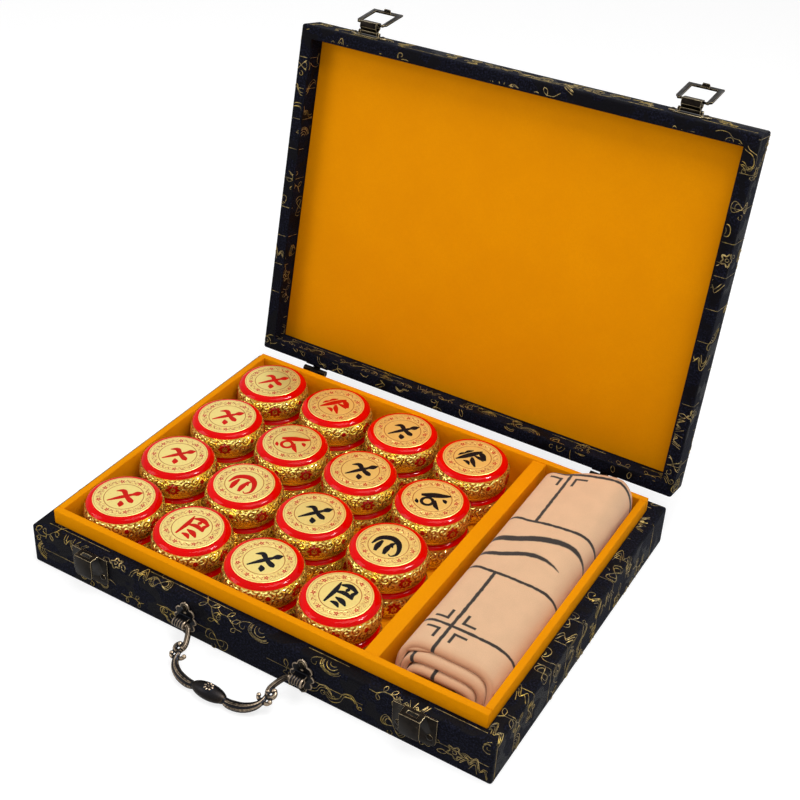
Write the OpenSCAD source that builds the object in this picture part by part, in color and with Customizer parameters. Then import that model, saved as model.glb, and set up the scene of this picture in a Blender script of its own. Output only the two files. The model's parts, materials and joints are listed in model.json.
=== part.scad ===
// Cloth-covered chess case with a lift-up lid, thirty-two turned playing tokens and a rolled cloth mat.
// Millimetres. X runs along the width, Y from the front to the hinges, Z up.
// The origin is the centre of the case's underside. The lid is drawn open.

/* [Case] */
// Outside width of the case
case_w = 285; // [240:1:340]
// Outside depth of the case
case_d = 212; // [204:1:260]
// Height of the base, up to its rim
base_h = 25.5; // [24:0.5:32]
// Height of the closed lid above the rim
lid_h = 19.5; // [18:0.5:26]
// Gap left between the closed lid and the rim
lid_gap = 0.05; // [0.05:0.01:0.3]
// Thickness of the covered wall boards
wall = 8; // [6:0.5:9]
// Radius of the upright corners
corner_r = 1.5; // [0.5:0.5:4]
// Thickness of the bottom board
bottom_t = 2.2; // [1.5:0.1:3]
// Depth of the lid's recess, down to its lining
recess_depth = 12.2; // [12:0.1:14]
// Thickness of the lid's lining panel
lining_t = 1.5; // [1:0.1:3]
// Play round the lining panel
lining_play = 0.2; // [0.1:0.05:0.5]
// Angle at which the open lid stands
open_angle = 101.7; // [95:0.1:110]

/* [Trays] */
// Thickness of the liner boards
liner_t = 4; // [3:0.5:5]
// How far the liner boards rise above the rim
liner_rise = 8.2; // [5:0.1:10]
// Play between the raised liner and the closed lid's walls
liner_play = 0.8; // [0.6:0.1:1.2]
// Thickness of the divider between the two trays
divider_t = 8.4; // [6:0.2:10]
// How far the divider's top lies under the liner's top
divider_drop = 0.5; // [0:0.1:2]
// Free strip beside the last column of tokens
token_strip = 5.7; // [2:0.1:10]
// Thickness of the card on each tray's floor
floor_t = 0.8; // [0.5:0.1:1]

/* [Tokens] */
// Gap between neighbouring rows of tokens
row_gap = 1.9; // [1.5:0.1:3]
// Gap between neighbouring columns of tokens
column_gap = 2.2; // [2:0.1:3]
// Height of a token
token_h = 17; // [14:0.5:17.2]
// Width from the flat disc on top to the token's widest edge
disc_inset = 5.3; // [4.5:0.1:8]
// Height of the disc above the band's inner edge
disc_step = 0.3; // [0.2:0.1:0.6]
// Width from the smooth band round the disc to the token's widest edge
band_inset = 1.6; // [1.5:0.1:3]
// Drop of the band from the disc's top to its outer edge
band_drop = 2.4; // [1.5:0.1:3]
// Rounding height of the band
band_crown = 0.55; // [0.2:0.05:0.9]
// How far the side bulges past its upper and lower edges
bulge = 1.9; // [1:0.1:3]
// Width from the lip under the bulge to the token's widest edge
lip_inset = 2.9; // [2.5:0.1:4]
// Height of the lip
lip_h = 1.2; // [0.8:0.1:2]
// Play between the outermost tokens and the tray
token_play = 0.35; // [0.3:0.05:0.6]

/* [Mat] */
// Space between each end of the mat and its tray
mat_end_play = 5.2; // [1:0.1:15]
// Height of the rolled mat
mat_h = 33.2; // [28:0.2:33.4]
// Thickness of the mat once folded in three
mat_t = 4.2; // [3:0.1:5]
// Gap between the turns of the roll
mat_gap = 0.6; // [0.5:0.1:1]
// Number of turns in the roll
mat_turns = 2.2; // [1.2:0.1:2.4]
// How much lower the roll's top lies on the side away from the tokens
mat_slope = 2.2; // [0:0.1:4]
// Play round the mat in its tray
mat_play = 0.4; // [0.3:0.1:1]

/* [Hinges] */
// Distance of each hinge from the case's nearer end
hinge_inset = 41.5; // [30:0.5:60]
// Length of a hinge along its pin
hinge_l = 16; // [12:1:30]
// Height of each hinge leaf on the wall
hinge_leaf_h = 12; // [10:0.5:16]
// Thickness of the hinge sheet
hinge_leaf_t = 0.7; // [0.5:0.1:0.9]
// Radius of the hinge pin
hinge_pin_r = 1.2; // [0.8:0.1:1.4]
// Distance of the pin's axis behind the back wall
hinge_out = 3.2; // [2.8:0.1:4]
// Height of the pin's axis above the rim
hinge_up = 0.4; // [0.2:0.1:0.8]
// Gap between neighbouring knuckles
knuckle_gap = 0.2; // [0.1:0.05:0.4]

/* [Latches] */
// Distance of each latch from the case's nearer end
latch_inset = 42; // [30:0.5:60]
// Thickness of the latch sheet
sheet_t = 0.8; // [0.6:0.1:1]
// Width of the keeper's plate
keeper_w = 24.2; // [22:0.2:30]
// Height of the keeper's plate
keeper_h = 18; // [15:0.5:20]
// Width of the keeper's hook
hook_w = 11.4; // [9:0.2:12]
// How far the hook stands out from the wall
hook_out = 6.2; // [5.9:0.1:6.3]
// Drop of the hook's front panel
hook_drop = 12.6; // [10:0.2:12.8]
// Distance of the keeper's screws from its middle
keeper_screw_x = 8.6; // [8.6:0.1:10]
// Distance of the keeper's screws below the rim
keeper_screw_down = 12.5; // [9:0.5:14]
// Width of the lid plate across its ears
plate_w = 24; // [22:0.2:30]
// Width of the lid plate's middle
plate_body_w = 15.4; // [15:0.1:16]
// Height of the lid plate
plate_h = 9.4; // [8:0.2:10]
// Height of the lever's pin above the rim
lever_up = 9.2; // [9:0.1:10]
// Distance of the lever's pin from the wall
lever_out = 2.2; // [2.1:0.1:2.6]
// Radius of the lever's pin
lever_pin_r = 0.6; // [0.5:0.05:0.7]
// Width of the lever
lever_w = 11; // [9:0.2:11]
// Depth of the lever's channel
lever_depth = 5.8; // [5:0.1:6]
// Distance from the lever's pin to the loop's pin
lever_reach = 5.5; // [5.4:0.1:6]
// Outer width of the loop
loop_w = 20.4; // [20.4:0.2:24]
// Width of the loop's strip
loop_strip = 2.8; // [2:0.1:2.8]
// Thickness of the loop's strip
loop_t = 1; // [0.8:0.1:1]
// Clear length of the loop, from its pins to its far bar
loop_reach = 17.6; // [17.6:0.1:19]
// Radius of the loop's pins
loop_pin_r = 0.7; // [0.5:0.05:0.75]
// Angle between the folded-back loop and the wall
loop_lean = 15.5; // [10:0.5:30]
// Width of the tab on the loop's far bar, which enters the keeper's slot
tab_w = 5.2; // [4:0.2:5.4]
// Length of the tab
tab_l = 1.8; // [1:0.1:2]
// Width of the keeper's slot
slot_w = 5.8; // [5.8:0.1:7]
// Depth of the keeper's slot
slot_d = 2.2; // [1.6:0.1:2.4]

/* [Handle] */
// Distance of each handle mount from the middle of the case
mount_x = 36.5; // [33:0.5:50]
// Height of the mounts' centre above the ground
mount_up = 12; // [11.6:0.1:13]
// Height of a mount's plate
mount_h = 23; // [20:0.5:23]
// Width of a mount's plate
mount_w = 14.4; // [12:0.2:16]
// Thickness of a mount's plate
mount_t = 1; // [0.8:0.1:1.5]
// Distance of the nails from the mount's centre
nail_up = 7.9; // [7.6:0.1:8.2]
// Width of the fluted cover
cover_w = 7.5; // [6:0.5:9]
// Radius of the fluted cover
cover_r = 2.5; // [2.2:0.1:2.7]
// Distance of the handle's axis from the wall
handle_out = 5.2; // [4.6:0.1:6]
// Radius of the handle's pins
handle_pin_r = 1.3; // [1:0.1:1.5]
// Length of pin inside a cover
handle_pin_l = 4.5; // [3:0.5:5]
// Reach of the handle from its axis to the grip's middle line
handle_reach = 25; // [24:0.5:32]
// Radius of the handle's arms
arm_r = 1.6; // [1.4:0.1:1.8]
// Largest radius of the fluted horns
horn_r = 2.75; // [2:0.05:3]
// Half length of the grip
grip_l = 9.6; // [8:0.2:12]
// Largest radius of the grip
grip_r = 3; // [2.4:0.1:3.4]
// Angle of the resting handle below the level
handle_drop = 21.5; // [15:0.5:21.5]

/* [Fits and fasteners] */
// Radial clearance of a pin in its bore
pin_play = 0.05; // [0.02:0.01:0.1]
// Side clearance of a moving piece
side_play = 0.3; // [0.2:0.05:0.5]
// Radius of a screw's or nail's shank
shank_r = 0.9; // [0.6:0.05:1.1]
// Length of shank in the board
shank_l = 5; // [3:0.5:5.5]
// Radius of a screw's domed head
head_r = 1.9; // [1.5:0.1:2.2]
// Height of a screw's domed head
head_h = 1.1; // [0.8:0.1:1.5]
// Distance of a hinge's screws from its middle
hinge_screw_x = 4.6; // [4:0.1:5]

/* [Hidden] */
front = -case_d / 2;
back = case_d / 2;
rim = base_h;
inset = wall + liner_play;
tray_x = case_w / 2 - inset - liner_t;
tray_y = case_d / 2 - inset - liner_t;
liner_top = rim + liner_rise;
tray_floor = bottom_t + floor_t;
token_d = (2 * tray_y - 2 * token_play - 3 * row_gap) / 4;
token_tray_w = 4 * token_d + 3 * column_gap + 2 * token_play + token_strip;
divider_x = token_tray_w - tray_x;
mat_tray_w = tray_x - divider_x - divider_t;
mat_l = 2 * (tray_y - mat_end_play);
lining_z = rim + recess_depth;
hinge_y = back + hinge_out;
hinge_z = rim + hinge_up;
hinge_xs = [-case_w / 2 + hinge_inset, case_w / 2 - hinge_inset];
latch_xs = [-case_w / 2 + latch_inset, case_w / 2 - latch_inset];
mount_xs = [-mount_x, mount_x];
row_pitch = token_d + row_gap;
column_pitch = token_d + column_gap;
disc_r = token_d / 2 - disc_inset;
band_r = token_d / 2 - band_inset;
lip_r = token_d / 2 - lip_inset;
first_x = -tray_x + token_play + token_d / 2;
first_y = -tray_y + token_play + token_d / 2;
barrel_r = hinge_pin_r + pin_play + hinge_leaf_t;
web_in = barrel_r - hinge_leaf_t + 0.05;
web_out = barrel_r - 0.05;
knuckle_r = lever_pin_r + pin_play + 0.55;
curl_r = loop_pin_r + pin_play + 0.5;
bail_z = mount_up + 0.5;
nail_seat_r = head_r + 1;
lobe_r = 2.6;
soft = 24;
round_n = 48;

// The tokens of one side, column by column from the front, in the upper and in the lower layer
UPPER = [["soldier_1", "soldier_2", "soldier_3", "soldier_4"],
         ["general", "elephant_1", "cannon_1", "horse_1"]];
LOWER = [["soldier_5", "advisor_1", "advisor_2", "elephant_2"],
         ["horse_2", "chariot_1", "chariot_2", "cannon_2"]];
SIDES = ["red", "black"];

// Each token: its name, its side, and its column, row and layer in the tray
TOKENS = [for (side = [0:1]) for (layer = [0:1]) for (col = [0:1]) for (row = [0:3])
    [str("token_", SIDES[side], "_", (layer == 0 ? LOWER : UPPER)[col][row]),
     side, 2 * side + col, row, layer]];

CASE_NODES = ["base_shell", "base_bottom", "liner_front", "liner_back", "liner_left", "liner_right",
    "tray_divider", "token_tray_floor", "mat_tray_floor", "lid_shell", "lid_lining",
    "hinge_base_leaves", "hinge_lid_leaves", "hinge_pins", "hinge_screws_base", "hinge_screws_lid",
    "latch_keepers", "keeper_screws", "latch_plates", "latch_plate_screws",
    "latch_lever_left", "latch_lever_right", "latch_loop_left", "latch_loop_right",
    "handle_bail", "handle_mounts", "handle_nails", "playing_mat"];

// Colours
CLOTH = "#1d1d2b";
LINING = "#e59a12";
BOARD = "#e28a10";
BRONZE = "#4a3b28";
GOLD = "#d9a93a";
FELT = "#e9be96";

// A flat plate with round upright corners, centred on X and Y
module rounded_slab(w, d, h, r) {
    linear_extrude(h) union() {
        square([w - 2 * r, d], center = true);
        square([w, d - 2 * r], center = true);
        for (sx = [-1, 1]) for (sy = [-1, 1])
            translate([sx * (w / 2 - r), sy * (d / 2 - r)]) circle(r, $fn = round_n);
    }
}

// A box given by its low and high corners
module block(low, high) {
    translate(low) cube(high - low);
}

// Turns the closed lid to where it stands open
module opened() {
    translate([0, hinge_y, hinge_z]) rotate([-open_angle, 0, 0])
        translate([0, -hinge_y, -hinge_z]) children();
}

// Places a piece on the front wall: its Z points out of the wall and its Y points up
module on_front(x, z) {
    translate([x, front, z]) rotate([90, 0, 0]) children();
}

// Places a piece on the back wall: its Z points out of the wall and its Y points up
module on_back(x, z) {
    translate([x, back, z]) rotate([90, 0, 180]) children();
}

// A round bar along X, centred on the origin
module bar_x(r, l) {
    rotate([0, 90, 0]) cylinder(r = r, h = l, center = true, $fn = round_n);
}

// A domed screw or nail standing on the wall's plate, with its shank in the board
module domed_screw(plate_t) {
    dome = (head_r * head_r + head_h * head_h) / (2 * head_h);
    intersection() {
        translate([0, 0, plate_t + head_h - dome]) sphere(dome, $fn = round_n);
        translate([0, 0, plate_t]) cylinder(r = head_r, h = head_h, $fn = round_n);
    }
    translate([0, 0, -shank_l]) cylinder(r = shank_r, h = shank_l + plate_t + 0.2, $fn = soft);
}

// The hole that a shank needs in a plate and in the board behind it
module pilot() {
    translate([0, 0, -shank_l - 0.3]) cylinder(r = shank_r + pin_play, h = shank_l + 4, $fn = soft);
}

// Places its children at each screw of the keepers, latch plates and handle mounts
module at_keeper_screws() {
    for (x = latch_xs) for (s = [-1, 1])
        on_front(x + s * keeper_screw_x, rim - keeper_screw_down) children();
}
module at_plate_screws() {
    for (x = latch_xs) for (s = [-1, 1])
        on_front(x + s * (plate_w / 2 - ear_r()), rim + lever_up) children();
}
module at_nails() {
    for (x = mount_xs) for (s = [-1, 1]) on_front(x, mount_up + s * nail_up) children();
}
module at_hinge_screws(z) {
    for (x = hinge_xs) for (s = [-1, 1]) on_back(x + s * hinge_screw_x, z) children();
}
function ear_r() = head_r + 0.5;
function leaf_screw_z(side) = hinge_z + side * (barrel_r + hinge_leaf_h) / 2 + side * 1.2;

module base_shell() {
    color(CLOTH) difference() {
        rounded_slab(case_w, case_d, base_h, corner_r);
        block([-case_w / 2 + inset, front + inset, -1], [case_w / 2 - inset, back - inset, base_h + 1]);
        at_keeper_screws() pilot();
        at_nails() pilot();
        at_hinge_screws(leaf_screw_z(-1)) pilot();
    }
}

module base_bottom() {
    color(CLOTH) block([-case_w / 2 + inset, front + inset, 0],
                       [case_w / 2 - inset, back - inset, bottom_t]);
}

// The front and back liner boards run the full width, and the end boards stand between them
module liner_long(y) {
    color(BOARD) block([-tray_x - liner_t, y, bottom_t], [tray_x + liner_t, y + liner_t, liner_top]);
}
module liner_end(x) {
    color(BOARD) block([x, -tray_y, bottom_t], [x + liner_t, tray_y, liner_top]);
}
module liner_front() { liner_long(-tray_y - liner_t); }
module liner_back() { liner_long(tray_y); }
module liner_left() { liner_end(-tray_x - liner_t); }
module liner_right() { liner_end(tray_x); }

module tray_divider() {
    color(BOARD) block([divider_x, -tray_y, bottom_t],
                       [divider_x + divider_t, tray_y, liner_top - divider_drop]);
}

module token_tray_floor() {
    color(LINING) block([-tray_x, -tray_y, bottom_t], [divider_x, tray_y, tray_floor]);
}

module mat_tray_floor() {
    color(LINING) block([divider_x + divider_t, -tray_y, bottom_t], [tray_x, tray_y, tray_floor]);
}

module lid_shell() {
    color(CLOTH) opened() difference() {
        translate([0, 0, rim + lid_gap]) rounded_slab(case_w, case_d, lid_h - lid_gap, corner_r);
        block([-case_w / 2 + wall, front + wall, rim - 1],
              [case_w / 2 - wall, back - wall, lining_z + lining_t]);
        at_plate_screws() pilot();
        at_hinge_screws(leaf_screw_z(1)) pilot();
    }
}

module lid_lining() {
    edge = wall + lining_play;
    color(LINING) opened() block([-case_w / 2 + edge, front + edge, lining_z],
                                 [case_w / 2 - edge, back - edge, lining_z + lining_t]);
}

// One knuckle of the hinge, from x = a to x = b, with the web that leads to its leaf
module knuckle(a, b, side) {
    difference() {
        union() {
            translate([(a + b) / 2, 0, 0]) bar_x(barrel_r, b - a);
            block([a, -hinge_out, min(side * web_in, side * web_out)],
                  [b, 0, max(side * web_in, side * web_out)]);
        }
        bar_x(hinge_pin_r + pin_play, hinge_l * 2);
    }
}

// One leaf, under the pin for side = -1 and above it for side = 1
module hinge_leaf(side, spans) {
    far = barrel_r + hinge_leaf_h;
    difference() {
        union() {
            block([-hinge_l / 2, -hinge_out, min(side * web_in, side * far)],
                  [hinge_l / 2, -hinge_out + hinge_leaf_t, max(side * web_in, side * far)]);
            for (s = spans) knuckle(s[0], s[1], side);
        }
        for (s = [-1, 1])
            translate([s * hinge_screw_x, -hinge_out, leaf_screw_z(side) - hinge_z])
                rotate([-90, 0, 0]) translate([0, 0, -1])
                    cylinder(r = shank_r + pin_play, h = 3, $fn = soft);
    }
}

module at_hinges() {
    for (x = hinge_xs) translate([x, hinge_y, hinge_z]) children();
}

mid = hinge_l / 6;
module hinge_base_leaves() {
    color(BRONZE) at_hinges()
        hinge_leaf(-1, [[-hinge_l / 2, -mid - knuckle_gap / 2], [mid + knuckle_gap / 2, hinge_l / 2]]);
}
module hinge_lid_leaves() {
    color(BRONZE) opened() at_hinges()
        hinge_leaf(1, [[-mid + knuckle_gap / 2, mid - knuckle_gap / 2]]);
}
module hinge_pins() {
    color(BRONZE) at_hinges() bar_x(hinge_pin_r, hinge_l);
}
module hinge_screws_base() {
    color(BRONZE) at_hinge_screws(leaf_screw_z(-1)) domed_screw(hinge_leaf_t);
}
module hinge_screws_lid() {
    color(BRONZE) opened() at_hinge_screws(leaf_screw_z(1)) domed_screw(hinge_leaf_t);
}

// The keeper: a plate on the wall and a hook bent out of it, whose panel hangs in front of the plate
module keeper() {
    r = 4;
    difference() {
        union() {
            linear_extrude(sheet_t) union() {
                translate([-keeper_w / 2, r - keeper_h]) square([keeper_w, keeper_h - r]);
                translate([-keeper_w / 2 + r, -keeper_h]) square([keeper_w - 2 * r, r]);
                for (s = [-1, 1])
                    translate([s * (keeper_w / 2 - r), r - keeper_h]) circle(r, $fn = round_n);
            }
            block([-hook_w / 2, -sheet_t, 0], [hook_w / 2, 0, hook_out]);
            translate([0, 0, hook_out - sheet_t]) linear_extrude(sheet_t) union() {
                translate([-hook_w / 2, 2 - hook_drop]) square([hook_w, hook_drop - 2]);
                translate([-hook_w / 2 + 2, -hook_drop]) square([hook_w - 4, 2]);
                for (s = [-1, 1])
                    translate([s * (hook_w / 2 - 2), 2 - hook_drop]) circle(2, $fn = round_n);
            }
        }
        block([-slot_w / 2, -2 * sheet_t, (hook_out - slot_d) / 2],
              [slot_w / 2, sheet_t, (hook_out + slot_d) / 2]);
    }
}
module latch_keepers() {
    color(BRONZE) difference() {
        for (x = latch_xs) on_front(x, rim) keeper();
        at_keeper_screws() pilot();
    }
}
module keeper_screws() {
    color(BRONZE) at_keeper_screws() domed_screw(sheet_t);
}

// The lid plate with its ears, its two lugs and the lever's pin between them
module latch_plate() {
    lug_a = lever_w / 2 + 0.2;
    lug_b = loop_w / 2 - loop_strip - side_play;
    linear_extrude(sheet_t) union() {
        square([plate_body_w, plate_h], center = true);
        square([plate_w - 2 * ear_r(), 2 * ear_r()], center = true);
        for (s = [-1, 1]) translate([s * (plate_w / 2 - ear_r()), 0]) circle(ear_r(), $fn = round_n);
    }
    for (s = [-1, 1]) translate([s * (lug_a + lug_b) / 2, 0, 0]) {
        translate([0, 0, lever_out]) bar_x(knuckle_r, lug_b - lug_a);
        block([-(lug_b - lug_a) / 2, -knuckle_r, 0], [(lug_b - lug_a) / 2, knuckle_r, lever_out]);
    }
    translate([0, 0, lever_out]) bar_x(lever_pin_r, 2 * lug_a + 1);
}
module latch_plates() {
    color(BRONZE) opened() difference() {
        for (x = latch_xs) on_front(x, rim + lever_up) latch_plate();
        at_plate_screws() pilot();
    }
}
module latch_plate_screws() {
    color(BRONZE) opened() at_plate_screws() domed_screw(sheet_t);
}

// Outline of the lever's bent sheet seen from its end, from the pin's knuckle out to the cap
module lever_outline() {
    h = lever_depth / 2;
    cap = lever_reach + 1;
    waist = 3;
    for (s = [-1, 1]) scale([1, s])
        polygon([[0.4, 0.5], [0.9, knuckle_r - 0.3], [waist, h], [cap, h], [cap, 0],
                 [cap - sheet_t, 0], [cap - sheet_t, h - sheet_t], [waist + 0.3, h - sheet_t],
                 [1.2, 0.5]]);
}

// The lever stands square to the wall, its pin at the origin
module latch_lever(x) {
    color(BRONZE) opened() translate([x, front - lever_out, rim + lever_up]) difference() {
        union() {
            bar_x(knuckle_r - 0.1, lever_w);
            translate([0, -lever_reach, 0]) bar_x(curl_r, lever_w);
            rotate([0, 90, 0]) rotate([0, 0, -90]) linear_extrude(lever_w, center = true)
                lever_outline();
        }
        bar_x(lever_pin_r + pin_play, lever_w + 1);
        translate([0, -lever_reach, 0]) bar_x(loop_pin_r + pin_play, lever_w + 1);
    }
}
module latch_lever_left() { latch_lever(latch_xs[0]); }
module latch_lever_right() { latch_lever(latch_xs[1]); }

// The loop lies in its own plane, its pins at the origin and its far bar towards +Y
module loop_frame() {
    w = loop_w / 2;
    inner = w - loop_strip;
    far = loop_reach + loop_strip;
    translate([0, 0, -loop_t / 2]) linear_extrude(loop_t) difference() {
        polygon([[-inner - 0.6, -0.9], [-w, 1.6], [-w, far], [w, far], [w, 1.6], [inner + 0.6, -0.9]]);
        translate([-inner, -2]) square([2 * inner, loop_reach + 2]);
    }
    for (s = [-1, 1]) translate([s * (inner + 0.5 + lever_w / 2 - 1) / 2, 0, 0])
        bar_x(loop_pin_r, inner + 0.5 - lever_w / 2 + 1);
    for (s = [-1, 1]) translate([s * (inner + 0.65), 0, 0]) bar_x(loop_pin_r + 0.15, 1.3);
    translate([0, far - loop_strip / 2 - sheet_t / 2, 0]) rotate([90, 0, 0])
        translate([0, 0, -sheet_t]) linear_extrude(sheet_t)
            polygon([[-tab_w / 2, 0], [tab_w / 2, 0], [tab_w / 2 - 0.7, loop_t / 2 + tab_l],
                     [-tab_w / 2 + 0.7, loop_t / 2 + tab_l]]);
}
module latch_loop(x) {
    color(BRONZE) opened() translate([x, front - lever_out - lever_reach, rim + lever_up])
        rotate([90 + loop_lean, 0, 0]) loop_frame();
}
module latch_loop_left() { latch_loop(latch_xs[0]); }
module latch_loop_right() { latch_loop(latch_xs[1]); }

// The mount's plate: a rosette with pointed ends and scalloped sides
module rosette() {
    tip = mount_h / 2;
    side = mount_w / 2;
    polygon([[0, tip], [1.6, tip - 2.6], [2.4, tip - 5], [-2.4, tip - 5], [-1.6, tip - 2.6]]);
    polygon([[0, -tip], [1.6, 2.6 - tip], [2.4, 5 - tip], [-2.4, 5 - tip], [-1.6, 2.6 - tip]]);
    for (s = [-1, 1]) translate([0, s * nail_up]) circle(nail_seat_r, $fn = round_n);
    for (sx = [-1, 1]) for (sy = [-1, 1])
        translate([sx * (side - 3.8), sy * (nail_up - 3.3)]) circle(lobe_r, $fn = round_n);
    for (sx = [-1, 1]) translate([sx * (side - 2.2), 0]) circle(2.2, $fn = round_n);
    square([mount_w - 4.4, 8.6], center = true);
}

// Half section of the fluted cover: its outside rises in five ribs along X
function flute_outline() = let (n = 5, steps = 8)
    concat([[handle_pin_r + pin_play, 0]],
           [for (i = [0:n * steps]) [cover_r - 0.35 + 0.35 * abs(sin(180 * i / steps)),
                                     cover_w * i / (n * steps)]],
           [[handle_pin_r + pin_play, cover_w]]);

module handle_mount() {
    difference() {
        union() {
            linear_extrude(mount_t) rosette();
            block([-cover_w / 2, bail_z - mount_up - 1.4, 0],
                  [cover_w / 2, bail_z - mount_up + cover_r - 0.5, handle_out]);
            translate([0, bail_z - mount_up, handle_out]) bar_x(cover_r - 0.4, cover_w);
        }
        translate([0, bail_z - mount_up, handle_out]) bar_x(cover_r - 0.6, cover_w + 2);
        for (s = [-1, 1]) translate([0, s * nail_up, 0]) pilot();
    }
    translate([-cover_w / 2, bail_z - mount_up, handle_out]) rotate([0, 90, 0])
        rotate_extrude($fn = round_n) polygon(flute_outline());
}
module handle_mounts() {
    color(BRONZE) for (x = mount_xs) on_front(x, mount_up) handle_mount();
}
module handle_nails() {
    color(BRONZE) at_nails() domed_screw(mount_t);
}

// A smooth curve through the given points, as a list of n steps for each stretch
function spline_at(p, i, t) = let (a = p[max(i - 1, 0)], b = p[i], c = p[i + 1],
    d = p[min(i + 2, len(p) - 1)])
    0.5 * (2 * b + (c - a) * t + (2 * a - 5 * b + 4 * c - d) * t * t
           + (3 * b - 3 * c + d - a) * t * t * t);
function spline(p, n) = concat([for (i = [0:len(p) - 2]) for (k = [0:n - 1]) spline_at(p, i, k / n)],
                               [p[len(p) - 1]]);
function unit(v) = v / norm(v);
function along(p, i) = unit(p[min(i + 1, len(p) - 1)] - p[max(i - 1, 0)]);

// A bar of changing radius swept along a curve in the XY plane, with grooves along its length
module swept_bar(path, radii, sides, flutes = 0, depth = 0) {
    n = len(path);
    rings = [for (i = [0:n - 1]) let (t = along(path, i)) for (k = [0:sides - 1])
        let (a = 360 * k / sides, r = radii[i] * (1 - depth * (1 + cos(flutes * a)) / 2))
        [path[i][0] + r * cos(a) * t[1], path[i][1] - r * cos(a) * t[0], r * sin(a)]];
    sides_faces = [for (i = [0:n - 2]) for (k = [0:sides - 1]) let (j = (k + 1) % sides)
        [i * sides + k, i * sides + j, (i + 1) * sides + j, (i + 1) * sides + k]];
    start = [[for (k = [0:sides - 1]) sides - 1 - k]];
    end = [[for (k = [0:sides - 1]) (n - 1) * sides + k]];
    polyhedron(rings, concat(sides_faces, start, end));
}

// A curl of a bar of radius t, bent to radius r round a centre, with a bead on its far end
module curl(centre, r, t, start, turn) {
    translate([centre[0], centre[1], 0]) {
        rotate([0, 0, min(start, start + turn)]) rotate_extrude(angle = abs(turn), $fn = round_n)
            translate([r, 0]) circle(t, $fn = soft);
        rotate([0, 0, start + turn]) translate([r, 0, 0]) sphere(t * 1.2, $fn = soft);
    }
}

// One half of the handle, drawn with X out from the middle and Y along its reach
module handle_half() {
    elbow = mount_x - cover_w / 2 - side_play;
    r = handle_reach;
    arm = spline([[elbow - 0.3, 0], [elbow - 2.4, 1.3], [elbow - 4.6, 5.2], [elbow - 6, 9.2],
                  [elbow - 5.8, 11.6]], 3);
    horn = spline([[elbow - 5.4, 13.4], [elbow - 6, 17.6], [elbow - 8.6, 21.2], [elbow - 13.2, r - 1],
                   [grip_l + 3.6, r + 0.3], [grip_l, r]], 3);
    horn_n = len(horn) - 1;
    swept_bar(arm, [for (p = arm) arm_r], 10);
    swept_bar(horn, [for (i = [0:horn_n]) 1.2 + (horn_r - 1.2) * pow(sin(135 * i / horn_n), 1.4)],
              18, 6, 0.16);
    curl([elbow - 3.8, 11.6], 2, 1.3, 180, -250);
    curl([elbow - 3.7, 15.4], 1.7, 1.05, 205, -200);
    curl([elbow - 7.4, 14.6], 1.8, 1.05, -20, 200);
    translate([elbow + handle_pin_l / 2, 0, 0]) bar_x(handle_pin_r, handle_pin_l + 1.2);
}

// Half section of the grip: a long egg with a bead at each end
function grip_outline() = concat([[0, -grip_l - 0.6]],
    [for (i = [0:20]) let (f = i / 10 - 1) [1.3 + (grip_r - 1.3) * sqrt(1 - f * f * 0.999), f * grip_l]],
    [[0, grip_l + 0.6]]);

module handle_bail() {
    color(BRONZE) translate([0, front - handle_out, bail_z]) rotate([180 + handle_drop, 0, 0]) {
        for (s = [0, 1]) mirror([s, 0, 0]) handle_half();
        translate([0, handle_reach, 0]) rotate([0, 90, 0])
            rotate_extrude($fn = round_n) polygon(grip_outline());
    }
}

// Middle line of the rolled mat: a flattened spiral that grows by one sheet and one gap a turn
mat_steps = 36;
function flat_power(v, e) = sign(v) * pow(abs(v), e);
function mat_point(f) = let (in = (mat_turns - f) * (mat_t + mat_gap), a = 360 * f - 115)
    [(mat_tray_w / 2 - in) * flat_power(cos(a), 0.62), (mat_h / 2 - in) * flat_power(sin(a), 0.8)];

// Moves and stretches the points along one axis so that they fill the span from low to high
function fitted(p, axis, low, high) = let (v = [for (q = p) q[axis]], a = min(v), b = max(v))
    [for (x = v) low + (x - a) * (high - low) / (b - a)];

module playing_mat() {
    n = round(mat_turns * mat_steps);
    raw = [for (i = [0:n]) mat_point(i / mat_steps)];
    reach = mat_tray_w / 2 - mat_play - mat_t / 2;
    xs = fitted(raw, 0, -reach, reach);
    zs = fitted(raw, 1, mat_t / 2, mat_h - mat_t / 2);
    line = [for (i = [0:n])
        [xs[i], zs[i] * (1 - mat_slope / mat_h * (xs[i] + reach) / (2 * reach))]];
    side = [for (i = [0:n]) let (t = along(line, i)) [t[1], -t[0]] * mat_t / 2];
    outline = concat([for (i = [0:n]) line[i] + side[i]], [for (i = [n:-1:0]) line[i] - side[i]]);
    color(FELT) translate([tray_x - mat_tray_w / 2, mat_l / 2, tray_floor + 0.3])
        rotate([90, 0, 0]) linear_extrude(mat_l) polygon(outline);
}

// Half section of a token, from its lip up to the middle of its disc
function token_outline() = let (
        low = lip_h + 0.5, high = token_h - band_drop, edge = token_d / 2 - bulge,
        half = (high - low) / 2, arc = (half * half + bulge * bulge) / (2 * bulge), sweep = asin(half / arc))
    concat([[0, 0], [lip_r - 0.4, 0], [lip_r, 0.4], [lip_r, lip_h], [lip_r - 0.5, low - 0.1]],
           [for (i = [-4:4]) let (a = sweep * i / 4)
               [edge + bulge - arc + arc * cos(a), (low + high) / 2 + arc * sin(a)]],
           [for (i = [0:6]) let (f = i / 6)
               [band_r + (disc_r - band_r) * f + band_crown * sin(180 * f) * 0.5,
                high + (band_drop - disc_step) * f + band_crown * sin(180 * f)]],
           [[disc_r, token_h], [0, token_h]]);

module token(side, col, row, layer) {
    color(side == 0 ? "#e2b04a" : GOLD)
        translate([first_x + col * column_pitch, first_y + row * row_pitch,
                   tray_floor + layer * token_h])
            rotate_extrude($fn = 64) polygon(token_outline());
}

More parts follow.
